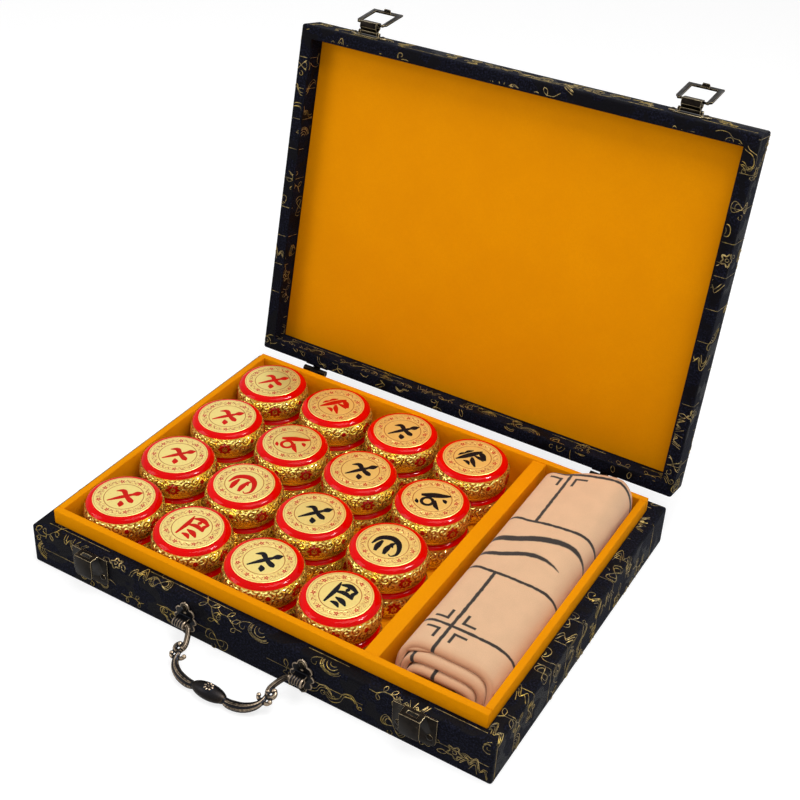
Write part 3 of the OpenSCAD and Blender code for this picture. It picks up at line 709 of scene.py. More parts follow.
def spiral(x, y, start_r, end_r, start, sweep):
    """An arc whose radius runs from start_r to end_r, in millimetres and degrees."""
    count = max(5, int(abs(math.radians(sweep)) * max(start_r, end_r) / POINT_GAP))
    share = np.linspace(0, 1, count)
    r = start_r + (end_r - start_r) * share
    a = np.radians(start + sweep * share)
    return np.stack([x + r * np.cos(a), y + r * np.sin(a)], 1)


# The brocade's motifs are lists of lines round the origin, in millimetres
def cloud():
    head = [(-8.6, -1), (-9.2, 2.4), (-6.6, 4.6), (-3.6, 4), (-1.6, 6), (1.8, 5.4), (3.6, 3), (3.2, 0)]
    return [spline(head), spiral(0, 0, 3.2, 0.8, 0, -430), spiral(-6, 0.6, 2.6, 0.7, 200, 400),
            spline([(-8.6, -1), (-5, -3.4), (-1, -3.1), (3, -5), (8, -4.4), (11, -2.6)])]


def wave():
    rows = [spiral(0, -3, r, r, 18, 144) for r in (7.8, 6.2, 4.4, 2.4)]
    crest = spline([(-7.4, -0.6), (-10, 1.6), (-11, 4.2), (-9, 6), (-7, 5), (-7.6, 3.4)])
    return rows + [crest]


def blossom():
    a = np.radians(np.arange(0, 361, 9))
    petals = 3.9 + 1.1 * np.cos(5 * a)
    ring = np.stack([petals * np.cos(a), petals * np.sin(a)], 1)
    leaves = [spline([(4, -3), (7, -3.6), (10, -1.4), (7.4, -0.8), (4.6, -2.2)]),
              spline([(-4, 3), (-7, 2.6), (-9.6, 5), (-6.6, 5.6), (-4.2, 4)])]
    return [ring, spiral(0, 0, 1.3, 1.3, 0, 360)] + leaves


def sprig():
    stem = spline([(-9, -5), (-5, -1.6), (-1, -1), (3, 1.6), (5, 5), (9, 6)])
    leaf = spline([(0, 0), (2.2, 2), (5, 1.8), (3.4, -0.4), (0, 0)])
    places = ((-5, -1.6, 100), (-1, -1, -70), (3, 1.6, -40), (5, 5, 120))
    return [stem] + [moved(leaf, math.radians(degrees), x, y) for x, y, degrees in places]


def knot():
    t = np.radians(np.arange(0, 361, 8))
    eight = np.stack([7.6 * np.sin(t), 3.8 * np.sin(2 * t)], 1)
    return [eight, eight * 0.66, spiral(0, 6.2, 2, 1.2, -90, 300)]


def peaks():
    ridge = [(-10, -5), (-6.4, 1.6), (-3.6, -2.4), (0.4, 5.6), (3.8, -1.4), (6.2, 1.8), (10, -5)]
    outer = spline(ridge)
    return [outer, outer * (0.82, 0.74) - (0, 1.4), spline([(-2.2, -5.4), (0.4, 0.4), (2.6, -5.4)])]


def ribbon():
    band = spline([(-10, 2), (-6, 5), (-1, 2), (1, -3), (6, -5), (10, -1)])
    return [band, band + (0.9, 1.9), spiral(11.4, 0.4, 1.9, 0.7, 220, -380),
            spiral(-10.4, 4, 1.8, 0.6, -90, -380)]


MOTIFS = (cloud, wave, blossom, sprig, knot, peaks, ribbon)
# Share of the places that get a motif, share of the motifs with a smaller echo of their first line,
# and the size of the echo
MOTIF_CHANCE = 0.72
ECHO_CHANCE = 0.6
ECHO_SIZE = 0.84
# Shortest and longest straight rule, and gap between two of them, in millimetres
RULE_LENGTHS = (20, 62)
RULE_GAPS = (14, 50)


def brocade(width, height, pitch, rule, chance):
    """Lines of gold thread for a piece of cloth, in millimetres: motifs between straight rules."""
    lines = []
    columns = max(1, round(width / pitch))
    rows = max(1, round(height / pitch))
    for row in range(rows):
        for column in range(columns + 1):
            motif = MOTIFS[chance.randrange(len(MOTIFS))]()
            # Half of the motifs lie about level; each is scaled and shifted a little by chance
            turn = math.radians(chance.choice((0, 0, 180, 25, -30, 90)) + chance.uniform(-12, 12))
            grow = chance.uniform(0.72, 0.98)
            shift = row % 2 * 0.5
            x = (column + shift + chance.uniform(-0.16, 0.16)) * width / columns
            y = (row + 0.5 + chance.uniform(-0.14, 0.14)) * height / rows
            if chance.random() < MOTIF_CHANCE:
                lines += [moved(line, turn, x, y, grow) for line in motif]
                if chance.random() < ECHO_CHANCE:
                    lines.append(moved(motif[0], turn, x, y, grow * ECHO_SIZE))
    for y in np.arange(2.5, height, rule):
        x = chance.uniform(-20, 10)
        while x < width:
            end = x + chance.uniform(*RULE_LENGTHS)
            lines.append(np.array([(x, y), (end, y)]))
            x = end + chance.uniform(*RULE_GAPS)
    return lines


def running(steps):
    """How far along a path each point lies, from the lengths between the points."""
    return np.concatenate([[0], np.cumsum(steps)])


def evenly(line, gap):
    """The line with points at most gap apart."""
    run = running(np.hypot(*np.diff(line, axis=0).T))
    count = max(2, int(run[-1] / gap) + 1)
    at = np.linspace(0, run[-1], count)
    return np.stack([np.interp(at, run, line[:, 0]), np.interp(at, run, line[:, 1])], 1)


def clipped(line, inside):
    """The stretches of a line whose points lie inside."""
    stretch, found = [], []
    for point in line:
        if inside(point):
            stretch.append(point)
        else:
            found.append(stretch)
            stretch = []
    found.append(stretch)
    return [s for s in found if len(s) > 2]


class Fold:
    """A path over rounded board edges, measured along the cloth: how far out and how high it is."""

    def __init__(self, corners, radius):
        points = [Vector(corners[0])]
        for before, corner, after in zip(corners, corners[1:], corners[2:]):
            corner = Vector(corner)
            back = (Vector(before) - corner).normalized() * radius
            on = (Vector(after) - corner).normalized() * radius
            for t in (0, 0.2, 0.4, 0.6, 0.8, 1):
                points.append(corner + (1 - t) ** 2 * back + t ** 2 * on)
        points.append(Vector(corners[-1]))
        self.run = running([(b - a).length for a, b in zip(points, points[1:])])
        self.out = [p[0] for p in points]
        self.up = [p[1] for p in points]
        self.length = self.run[-1]

    def at(self, distance):
        """How far out and how high the path is at a distance along it."""
        return np.interp(distance, self.run, self.out), np.interp(distance, self.run, self.up)


def wall_threads(low, high, fold, corner, pitches, chance, turn=Matrix.Identity(4)):
    """Threads on the four walls of a covered box: low and high are its corners in millimetres."""
    # Where each wall starts, its direction, the direction out of it and its length
    spans = (((low.x, low.y), (1, 0), (0, -1), high.x - low.x),
             ((high.x, low.y), (0, 1), (1, 0), high.y - low.y),
             ((high.x, high.y), (-1, 0), (0, 1), high.x - low.x),
             ((low.x, high.y), (0, -1), (-1, 0), high.y - low.y))
    end_margin, corner_margin = 0.4, 0.5
    found = []
    for wall, (start, along, outward, length) in enumerate(spans):
        crosswise = wall % 2 == 1
        size_a, size_b = (fold.length, length) if crosswise else (length, fold.length)
        for line in brocade(size_a, size_b, *pitches, chance):
            line = evenly(line[:, ::-1] if crosswise else line, POINT_GAP)

            def inside(point):
                """Whether a point is clear of the cloth's ends and corners."""
                if not end_margin < point[1] < fold.length - end_margin:
                    return False
                margin = max(corner, -fold.at(point[1])[0]) + corner_margin
                return margin < point[0] < length - margin

            for stretch in clipped(line, inside):
                places = []
                for a, b in stretch:
                    out, up = fold.at(b)
                    place = Vector((start[0] + along[0] * a + outward[0] * out,
                                    start[1] + along[1] * a + outward[1] * out, up))
                    places.append(turn @ (place * MM))
                found.append(places)
    return found


def tubes(name, lines, radius, sides):
    """A mesh of round threads or strokes along the lines; a point may carry its own thickness."""
    curve = bpy.data.curves.new(name, "CURVE")
    curve.dimensions = "3D"
    curve.bevel_depth = radius
    curve.bevel_resolution = sides
    curve.use_fill_caps = True
    for line in lines:
        path = curve.splines.new("POLY")
        path.points.add(len(line) - 1)
        for point, place in zip(path.points, line):
            point.co = (place[0], place[1], place[2], 1)
            point.radius = place[3] if len(place) > 3 else 1
    holder = bpy.data.objects.new(name, curve)
    mesh = bpy.data.meshes.new_from_object(holder)
    bpy.data.objects.remove(holder)
    bpy.data.curves.remove(curve)
    mesh.name = name
    return mesh


def read(collection, field, width, kind=float):
    """A field of all the points or edges of a mesh, one row for each."""
    values = np.empty(len(collection) * width, kind)
    collection.foreach_get(field, values)
    return values.reshape(-1, width)


def seam_marks(mesh):
    """Marks how far each point stands out from its neighbours, from 0 in a hollow to 1 on a ridge."""
    places = read(mesh.vertices, "co", 3)
    normals = read(mesh.vertices, "normal", 3)
    ends = read(mesh.edges, "vertices", 2, int)
    both = np.concatenate([ends, ends[:, ::-1]])
    degree = np.bincount(both[:, 0], minlength=len(places))[:, None]

    def spread(values):
        """The mean of each point's neighbours."""
        total = np.zeros_like(values)
        np.add.at(total, both[:, 0], values[both[:, 1]])
        return total / np.maximum(degree, 1)

    around = spread(places)
    for _ in range(3):
        around = spread(around)
    standing = np.sum((places - around) * normals, 1)
    for _ in range(2):
        standing = spread(standing[:, None])[:, 0]
    low, high = np.percentile(standing, (4, 97))
    marks = np.clip((standing - low) / max(high - low, 1e-9), 0, 1)
    layer = mesh.attributes.new("worn", "FLOAT", "POINT")
    layer.data.foreach_set("value", marks.astype(np.float32))


def plump_grip(looks):
    """The swelling of the handle's grip, with the eight-petalled flower on top."""
    low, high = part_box("handle_bail")
    middle = (low.x + high.x) / 2
    # The solid's points near the middle of its front bar
    grip = [v.co for v in frame["nodes"]["handle_bail"].data.vertices
            if abs(v.co.x - middle) < 5 * MM and v.co.y < low.y + 12 * MM]
    across = (min(co.y for co in grip) + max(co.y for co in grip)) / 2
    foot = min(co.z for co in grip)
    top = foot + looks.grip_rise * 2 - 0.1 * MM
    bm = bmesh.new()
    swell = Matrix.Translation((middle, across, foot + looks.grip_rise))
    swell = swell @ Matrix.Diagonal((looks.grip_half, looks.grip_depth, looks.grip_rise, 1))
    bmesh.ops.create_icosphere(bm, subdivisions=5, radius=1, matrix=swell)
    heart = Matrix.Translation((middle, across, top))
    flat = Matrix.Diagonal((1, 1, 0.5, 1))
    bmesh.ops.create_icosphere(bm, subdivisions=2, radius=looks.petal * 0.9, matrix=heart @ flat)
    leaf = Matrix.Diagonal((1.25, 0.85, 0.6, 1))
    for step in range(8):
        spoke = Matrix.Rotation(step * math.pi / 4, 4, "Z") @ Matrix.Translation((looks.petal * 2.6, 0, 0))
        bmesh.ops.create_icosphere(bm, subdivisions=2, radius=looks.petal, matrix=heart @ spoke @ leaf)
    return plain_mesh(bm, "plump_grip")


def cast_copy(node, name, grain, rounds, material, extra=()):
    """A CAD node, with extra meshes joined on, melted into one smooth casting."""
    bm = bmesh.new()
    bm.from_mesh(frame["nodes"][node].data)
    for mesh in extra:
        bm.from_mesh(mesh)
    bmesh.ops.remove_doubles(bm, verts=bm.verts, dist=WELD)
    holder = added(name, plain_mesh(bm, name))
    melt = holder.modifiers.new("melt", "REMESH")
    melt.mode = "VOXEL"
    melt.voxel_size = grain
    smooth = holder.modifiers.new("smooth", "SMOOTH")
    smooth.factor = 0.5
    smooth.iterations = rounds
    bpy.context.view_layer.update()
    done = bpy.data.meshes.new_from_object(holder.evaluated_get(bpy.context.evaluated_depsgraph_get()))
    bpy.data.objects.remove(holder)
    done.name = name
    done.shade_smooth()
    seam_marks(done)
    return new_piece(name, done, body_of_node(node), [material], [node])


def hoop(x, y, radius, pen, start, end, count):
    """A round brush stroke for the table of signs."""
    turns = np.linspace(start, end, count)
    return [(radius * math.cos(a) + x, radius * math.sin(a) + y, pen) for a in turns]


# Rank signs as brush strokes: each point is x, y and half width, in hundredths of the sign's half size
SIGNS = {
    "soldier": [[(74, 95, 2), (52, 70, 15), (30, 44, 7)],
                [(32, 46, 8), (-10, -10, 11), (-62, -84, 4)],
                [(-74, 20, 3), (-36, 44, 12), (10, 12, 10), (62, -10, 13), (82, -20, 3)],
                [(10, -42, 3), (30, -66, 14), (42, -90, 3)]],
    "general": [[(-52, 95, 3), (-44, 20, 11), (-50, -92, 5)],
                [(-40, 74, 5), (10, 90, 13), (74, 66, 6)],
                [(70, 68, 7), (58, 36, 10), (76, 2, 4)],
                [(-40, 12, 5), (15, 26, 12), (76, 4, 4)],
                [(2, 54, 5), (14, 56, 13), (26, 52, 5)],
                [(-14, -28, 4), (32, -36, 13), (74, -62, 4)],
                [(-20, -72, 4), (14, -70, 11), (46, -92, 3)]],
    "advisor": [[(0, -86, 4), (-30, 0, 12), (-76, 62, 4)],
                [(2, -90, 4), (3, 10, 13), (0, 92, 5)],
                [(4, -86, 4), (34, 0, 12), (78, 60, 4)],
                [(-84, 30, 4), (0, 58, 10), (84, 30, 3)],
                [(-50, -28, 3), (0, -12, 9), (50, -30, 3)]],
    "elephant": [[(-90, -42, 4), (-72, 28, 12), (-12, 62, 15), (42, 44, 13),
                  (74, -2, 10), (84, -52, 7), (62, -82, 4), (42, -72, 3)],
                 [(-48, 16, 6), (-50, -36, 13), (-42, -88, 7)],
                 [(12, 10, 6), (10, -36, 13), (18, -88, 7)],
                 [(30, 34, 4), (16, 10, 10), (36, -12, 3)]],
    "horse": [[(-84, -72, 4), (-42, -10, 14), (-2, 48, 14), (26, 90, 4)],
              [(12, 74, 7), (48, 50, 14), (86, 10, 6)],
              [(6, 20, 5), (42, 16, 10), (80, -2, 3)],
              [(-26, 68, 3), (-52, 42, 9), (-66, 10, 2)],
              [(-54, 24, 3), (-78, 0, 8), (-90, -30, 2)],
              [(-2, 0, 5), (20, -36, 12), (62, -84, 4)],
              [(-36, -60, 3), (-6, -60, 10), (20, -84, 3)]],
    "chariot": [hoop(-8, -20, 50, 9, 0.3, 6.9, 15),
                [(-8, 44, 5), (-8, -20, 9), (-8, -84, 4)],
                [(-74, -20, 4), (-8, -20, 9), (58, -20, 4)],
                [(-60, 56, 4), (10, 74, 13), (86, 56, 4)]],
    "cannon": [[(-80, 2, 8), (-10, 38, 17), (50, 66, 12), (84, 86, 6)],
               hoop(-16, -36, 36, 8, 0.8, 7.3, 12),
               [(20, -2, 5), (46, -46, 11), (86, -76, 3)],
               [(56, 30, 3), (76, 22, 10), (92, 4, 3)],
               [(-86, -50, 3), (-72, -70, 9), (-56, -86, 2)]],
}
# Order of a token's materials
SIDE, BAND, DISC, SIGN = range(4)
# Chooses how each token is turned
SPIN_SEED = 5


def clamp(value):
    """The value, held between 0 and 1."""
    return min(1, max(0, value))


def token_half_section(looks, radius, height):
    """Half section of a token from the middle of its foot to the middle of its disc."""
    edge = radius - looks.bulge
    low = looks.lip_height + 0.5 * MM
    high = height - looks.band_drop
    disc = radius - looks.disc_inset
    band = radius - looks.band_inset
    lip = radius - looks.lip_inset
    half = (high - low) / 2
    arc = (half * half + looks.bulge ** 2) / (2 * looks.bulge)
    sweep = math.asin(half / arc)
    blunt, nick = 0.4 * MM, 0.12 * MM
    foot = [(0, 0), (lip * 0.5, 0), (lip - blunt, 0), (lip - nick, nick), (lip, blunt),
            (lip, looks.lip_height * 0.8), (lip - 0.2 * MM, looks.lip_height + 0.1 * MM)]
    side = [(edge + looks.bulge - arc + arc * math.cos(a), (low + high) / 2 + arc * math.sin(a))
            for a in np.linspace(-sweep, sweep, 32)]
    shoulder = []
    for f in np.linspace(0, 1, 9):
        crown = looks.band_crown * math.sin(math.pi * f)
        shoulder.append((band + (disc - band) * f + crown * 0.5,
                         high + (looks.band_drop - looks.disc_step) * f + crown))
    top = [(disc, height - looks.disc_step * 0.4), (disc - nick, height - looks.disc_step * 0.05),
           (disc - blunt, height), (disc * 0.66, height), (disc * 0.33, height), (0, height)]
    return foot + side + shoulder + top, low, high


def embossing(turn, level):
    """Relief on a token's side, from 0 to 1, and where it is enamelled; turn in radians, level 0 to 1."""
    # All in millimetres: the way round the side and up it, then the motifs' sizes and heights
    girth, tall, border = 141, 13, 0.9
    scale_wide, scale_tall, cloud_wide, cloud_tall, ripple = 3.525, 1.7, 5.64, 3.8, 1.7
    medal_at, medal_size, sun_at, sun_size = 6.6, 4.6, 8.6, 2.3
    u, v = turn / math.tau * girth, level * tall
    row = math.floor(v / scale_tall)
    scale_u = (u / scale_wide + 0.5 * (row % 2)) % 1 - 0.5
    scale_v = v / scale_tall - row
    scales = 0.5 + 0.5 * math.cos(math.hypot(scale_u * 2, scale_v * 0.9) * 9.5)
    row = math.floor(v / cloud_tall)
    column = math.floor(u / cloud_wide + 0.5 * (row % 2))
    near_u = (u / cloud_wide + 0.5 * (row % 2) - column - 0.5) * cloud_wide
    near_v = v - (row + 0.5) * cloud_tall
    shift = noise.noise(Vector((column % 25 * 1.7, row * 2.3, 5)))
    near_u += shift * 1.6
    near_v -= shift * 0.7
    far = math.hypot(near_u * 0.8, near_v)
    bearing = math.atan2(near_v, near_u * 0.8)
    hand = 1 if (column + row) % 2 else -1
    clouds = 0.5 + 0.5 * math.cos(far * math.tau / ripple + hand * bearing)
    share = clamp((v - 2 * scale_tall) / 1.2)
    relief = scales * 0.7 * (1 - share) + clouds * share
    red = 0.0
    quarters = turn / (math.pi / 2)
    x, y = (quarters % 1 - 0.5) * girth / 4, v - medal_at
    far = math.hypot(x, y)
    if far < medal_size:
        petals = math.cos(8 * math.atan2(y, x))
        relief = 0.55 + 0.45 * math.cos(far * 2.7) * (0.7 + 0.3 * petals)
        red = 1.0 if 1.5 < far - 0.45 * petals < 3.6 or far < 0.7 else 0.0
    far = math.hypot(((quarters + 0.5) % 1 - 0.5) * girth / 4, v - sun_at)
    if far < sun_size:
        relief = math.sqrt(max(0, 1 - (far / sun_size) ** 2))
        red = 1.0 if far < 1.5 else 0.0
    if v > tall - border or v < border:
        relief = 0.6 + 0.25 * math.cos(u * math.tau / 1.2)
        red = 0.0
    return relief, red


def blank_token(looks, radius, height):
    """A turned and embossed token without its sign, standing on the origin."""
    section, low, high = token_half_section(looks, radius, height)
    bm = new_bmesh()
    verts = [bm.verts.new((r, 0, z)) for r, z in section]
    edges = [bm.edges.new(pair) for pair in zip(verts, verts[1:])]
    bmesh.ops.spin(bm, geom=verts + edges, cent=(0, 0, 0), axis=(0, 0, 1), dvec=(0, 0, 0),
                   angle=math.tau, steps=looks.steps, use_merge=True)
    bmesh.ops.remove_doubles(bm, verts=bm.verts, dist=WELD)
    bmesh.ops.recalc_face_normals(bm, faces=bm.faces)
    bm.normal_update()
    raised = bm.verts.layers.float.new("raised")
    red = bm.verts.layers.float.new("enamel")
    band = radius - looks.band_inset
    disc = radius - looks.disc_inset
    for vert in bm.verts:
        far = math.hypot(vert.co.x, vert.co.y)
        level = (vert.co.z - low) / (high - low)
        vert[raised] = 0.55
        if 0.001 < level < 0.999 and far > band - 0.1 * MM:
            relief, spot = embossing(math.atan2(vert.co.y, vert.co.x) + math.pi, level)
            ease = min(1, level / 0.05, (1 - level) / 0.05)
            vert[raised] = relief
            vert[red] = spot
            vert.co += vert.normal * looks.relief * (relief - 1) * ease
    layer = bm.loops.layers.uv["face"]
    for face in bm.faces:
        middle = face.calc_center_median()
        far = math.hypot(middle.x, middle.y)
        if middle.z > high and far > disc - 0.02 * MM:
            face.material_index = BAND
        elif middle.z > high:
            face.material_index = DISC
        for loop in face.loops:
            loop[layer].uv = loop.vert.co.xy
    return to_mesh(bm, "blank_token", 60)


def sign_strokes(looks, kind, height):
    """The raised strokes of a rank sign, lying on a token's disc."""
    grow = looks.mark_size / 100
    thinnest = 1.2
    lines = []
    for stroke in SIGNS[kind]:
        path = spline(stroke, 4)
        lines.append([(x * grow, y * grow, 0, max(thinnest, w * looks.brush) * grow) for x, y, w in path])
    mesh = tubes("sign_" + kind, lines, 1.0, 3)
    widest = max(w for stroke in SIGNS[kind] for _, _, w in stroke) * looks.brush * grow
    flat = looks.mark_height / widest
    mesh.transform(Matrix.Translation((0, 0, height - 0.02 * MM)) @ Matrix.Diagonal((1, 1, flat, 1)))
    return mesh


def mat_sides(looks, half_w, half_h):
    """The flattened spiral that the roll's cross-section follows from the cloth's outer end inwards."""
    shares = np.linspace(0, looks.turns, int(looks.turns * 160))
    angle = looks.outer_end + math.tau * shares
    sunk = looks.thickness / 2 + looks.turn_pitch * (shares - 0.22 * (1 - np.exp(-shares / 0.3)))
    c, s = np.cos(angle), np.sin(angle)
    x = (half_w - sunk) * np.sign(c) * np.abs(c) ** 0.45
    z = (half_h - sunk) * np.sign(s) * np.abs(s) ** 0.66
    run = running(np.hypot(np.diff(x), np.diff(z)))
    return x, z, run, angle, shares


def folded_path(looks, front, back, flap, count):
    """How the cloth runs from its front flap round both folds: place along the roll and depth."""
    r = looks.fold_radius
    ease = 6 * MM
    panel = back - front - 2 * r - looks.thickness
    bend = math.pi * r
    rear = looks.length - flap - panel - 2 * bend
    marks = np.cumsum([0, flap, bend, panel, bend, rear])
    # The folds get more points than their length asks for
    share = np.cumsum([0, 0.22, 0.12, 0.32, 0.12, 0.22])
    along = np.interp(np.linspace(0, 1, count), share, marks)
    near, far = front + r + looks.thickness / 2, back - r - looks.thickness / 2
    gap, puffed = looks.spacing, 2 * r
    first = np.maximum(marks[1] - along, 0)
    last = np.maximum(along - marks[4], 0)
    turn_in = np.clip((along - marks[1]) / r, 0, math.pi)
    turn_out = np.clip((along - marks[3]) / r, 0, math.pi)
    places = near + first - r * np.sin(turn_in) + np.clip(along - marks[2], 0, panel)
    places = np.where(along > marks[3], far + r * np.sin(turn_out) - last, places)
    first_depth = gap + (puffed - gap) * np.exp(-first / ease)
    last_depth = 2 * gap + (puffed - 2 * gap) * np.exp(-last / ease)
    depths = np.where(along < marks[1], first_depth, r + r * np.cos(turn_in))
    depths = np.where(along > marks[3], r - r * np.cos(turn_out), depths)
    depths = np.where(along > marks[4], last_depth, depths)
    return along, places, depths


def rolled_mat(looks):
    """One sheet of cloth, folded in three and rolled flat, with its flat place on its map."""
    low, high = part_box("playing_mat")
    centre = (low + high) / 2
    centre.z = (low.z + high.z + looks.puff) / 2
    half_w, half_h = (high.x - low.x) / 2, (high.z - low.z + looks.puff) / 2
    x, z, run, angle, shares = mat_sides(looks, half_w, half_h)
    across_count, along_count = 230, 160
    across = np.linspace(0, min(looks.width, run[-1]), across_count + 1)
    px, pz = np.interp(across, run, x), np.interp(across, run, z)
    turned = np.interp(across, run, angle)
    turn_share = np.interp(across, run, shares) / looks.turns
    tx, tz = np.gradient(px, across), np.gradient(pz, across)
    steep = np.hypot(tx, tz)
    inward_x, inward_z = -tz / steep, tx / steep
    upper = np.maximum(np.sin(turned), 0) ** 0.7
    recess = looks.recess * (0.12 + 0.88 * upper) * (1 - turn_share) ** 1.6
    columns = []
    for i in range(across_count + 1):
        leftward = max(0, -px[i] / half_w) * upper[i]
        back_in = (2.5 * turn_share[i] + 5 * leftward) * MM
        columns.append(folded_path(looks, low.y + recess[i], high.y - back_in,
                                   looks.front_flap + recess[i], along_count + 1))
    bm = new_bmesh()
    bmesh.ops.create_grid(bm, x_segments=across_count, y_segments=along_count, size=1)
    layer = bm.loops.layers.uv["face"]
    folded = bm.verts.layers.float.new("folded")
    flat = {}
    hollow_at, hollow_width = -12 * MM, 7 * MM
    heave_from, heave_width = -14 * MM, 34 * MM
    crease_shade_width, unevenness = 4.5 * MM, 0.5 * MM
    for vert in bm.verts:
        i = round((vert.co.x + 1) / 2 * across_count)
        j = round((vert.co.y + 1) / 2 * along_count)
        along, places, depths = columns[i]
        flat[vert] = (across[i], along[j])
        y = places[j]
        cx, cz = px[i] + inward_x[i] * depths[j], pz[i] + inward_z[i] * depths[j]
        rise = (cz + half_h) / (2 * half_h)
        back = (y - low.y) / (high.y - low.y)
        # The right side lies lower, and a hollow runs along the top
        cz -= looks.slope * rise * (cx + half_w) / (2 * half_w)
        dip = math.exp(-((cx - hollow_at) / hollow_width) ** 2) * (0.25 + 0.75 * back)
        cz -= looks.valley * dip * max(0, rise - 0.5) * 2
        # The far end stands up, most at its right corner
        rightward = 0.27 + 0.73 * clamp((cx - heave_from) / heave_width)
        cz += looks.heave * rightward * clamp((back - 0.3) / 0.7) ** 1.3 * max(0, rise)
        # The front end's lower left is drawn in, and the top is a little uneven
        leftward = clamp(-cx / half_w)
        cx += looks.undercut * max(0, 1 - back * 2.2) * leftward * max(0, 0.75 - rise)
        wobble = noise.noise(Vector((cx * 45, y * 26, 1)))
        cz += unevenness * wobble * max(0, rise - 0.4)
        vert.co = (centre.x + cx, y, centre.z + cz)
        # The folded mark is painted shade, strongest right at the folds of the roll's front and back ends
        near_end = min(abs(y - low.y - recess[i]), abs(high.y - y))
        vert[folded] = max(0.0, 1 - near_end / crease_shade_width) * 0.75
    for face in bm.faces:
        for loop in face.loops:
            loop[layer].uv = flat[loop.vert]
    bmesh.ops.recalc_face_normals(bm, faces=bm.faces)
    return to_mesh(bm, "rolled_mat", 180)


class CASE_OT_cloth(bpy.types.Operator):
    """Covers the base and the lid with brocade cloth"""
    bl_idname = "chesscase.cloth"
    bl_label = "Cloth covers"

    def execute(self, context):
        looks = context.scene.case_looks
        cloth = brocade_cloth(looks)
        low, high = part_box("base_shell")
        high.z -= looks.rim_gap
        bm = cloth_ring(low, high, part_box("liner_front")[0].y - low.y)
        self.cover("base_cloth", bm, low, high, looks, Matrix.Identity(4), "case_base", cloth, "base_shell")
        bottom_edge = 0.3 * MM
        rounded_copy("base_bottom", "base_underside", bottom_edge, cloth)
        low, high = closed_box("lid_shell")
        low.z += looks.rim_gap
        bm = cloth_tray(low, high, looks.wall, closed_box("lid_lining")[1].z - low.z)
        self.cover("lid_cloth", bm, low, high, looks, OPENED, "lid", cloth, "lid_shell")
        return {"FINISHED"}

    def cover(self, name, bm, low, high, looks, place, body, cloth, shell):
        """Ends a covered box: rounds it, maps it and puts it in its place."""
        round_cloth(bm, low, high, looks.edge, looks.inner_edge)
        map_faces(bm)
        bmesh.ops.transform(bm, matrix=place, verts=bm.verts)
        new_piece(name, to_mesh(bm, name, 50), body, [cloth], [shell])


class CASE_OT_threads(bpy.types.Operator):
    """Weaves the gold thread motifs into the cloth"""
    bl_idname = "chesscase.threads"
    bl_label = "Gold threads"

    def execute(self, context):
        looks = context.scene.case_looks
        gold = gold_thread(looks)
        chance = random.Random(looks.seed)
        pitches = (looks.motif_pitch / MM, looks.rule_pitch / MM)
        sink = looks.thread_sink / MM
        corner = looks.edge / MM + sink
        low, high = [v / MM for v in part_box("base_shell")]
        high.z -= looks.rim_gap / MM
        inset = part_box("liner_front")[0].y / MM - low.y
        fold = Fold([(-inset, high.z - sink), (-sink, high.z - sink), (-sink, 0)], looks.edge / MM)
        lines = wall_threads(low, high, fold, corner, pitches, chance)
        self.weave("base_threads", lines, looks.thread / 2, "case_base", gold)
        low, high = [v / MM for v in closed_box("lid_shell")]
        low.z += looks.rim_gap / MM
        recess = closed_box("lid_lining")[0].z / MM
        wall = looks.wall / MM
        fold = Fold([(-wall + sink, recess), (-wall + sink, low.z + sink), (-sink, low.z + sink),
                     (-sink, high.z)], looks.edge / MM)
        lines = wall_threads(low, high, fold, corner, pitches, chance, OPENED)
        self.weave("lid_threads", lines, looks.thread / 2, "lid", gold)
        width, depth = high.x - low.x, high.y - low.y

        def on_top(point):
            """Whether a point is clear of the lid's rounded edges."""
            return corner < point[0] < width - corner and corner < point[1] < depth - corner

        lines = []
        for line in brocade(width, depth, *pitches, chance):
            for stretch in clipped(evenly(line, 1.0), on_top):
                lines.append([OPENED @ (Vector((low.x + a, low.y + b, high.z - sink)) * MM)
                              for a, b in stretch])
        self.weave("lid_top_threads", lines, looks.thread / 2, "lid", gold)
        return {"FINISHED"}

    def weave(self, name, lines, radius, body, gold):
        """Lays the threads on a body."""
        mesh = tubes(name, lines, radius, 0)
        mesh.shade_smooth()
        new_piece(name, mesh, body, [gold])


class CASE_OT_boards(bpy.types.Operator):
    """Rounds and lines the boards of the trays and the lid"""
    bl_idname = "chesscase.boards"
    bl_label = "Lined boards"

    def execute(self, context):
        looks = context.scene.case_looks
        lined = lined_board(looks)
        for node in ("liner_front", "liner_back", "liner_left", "liner_right", "tray_divider"):
            rounded_copy(node, "lined_" + node, looks.board_edge, lined, 3)
        floor_edge = 0.15 * MM
        for node in ("token_tray_floor", "mat_tray_floor"):
            rounded_copy(node, "lined_" + node, floor_edge, lined)
        rounded_copy("lid_lining", "lined_lid_panel", looks.board_edge, lined, 3, CLOSED)
        return {"FINISHED"}


class CASE_OT_metalwork(bpy.types.Operator):
    """Rounds and ages the hinges, latches and screws"""
    bl_idname = "chesscase.metalwork"
    bl_label = "Hinges and latches"

    def execute(self, context):
        looks = context.scene.metal_looks
        bronze = aged_bronze(looks)
        for node in ("hinge_base_leaves", "hinge_lid_leaves", "hinge_pins", "hinge_screws_base",
                     "hinge_screws_lid", "latch_keepers", "keeper_screws", "latch_plates",
                     "latch_plate_screws", "latch_lever_left", "latch_lever_right",
                     "latch_loop_left", "latch_loop_right"):
            rounded_copy(node, "bronze_" + node, looks.edge, bronze)
        return {"FINISHED"}


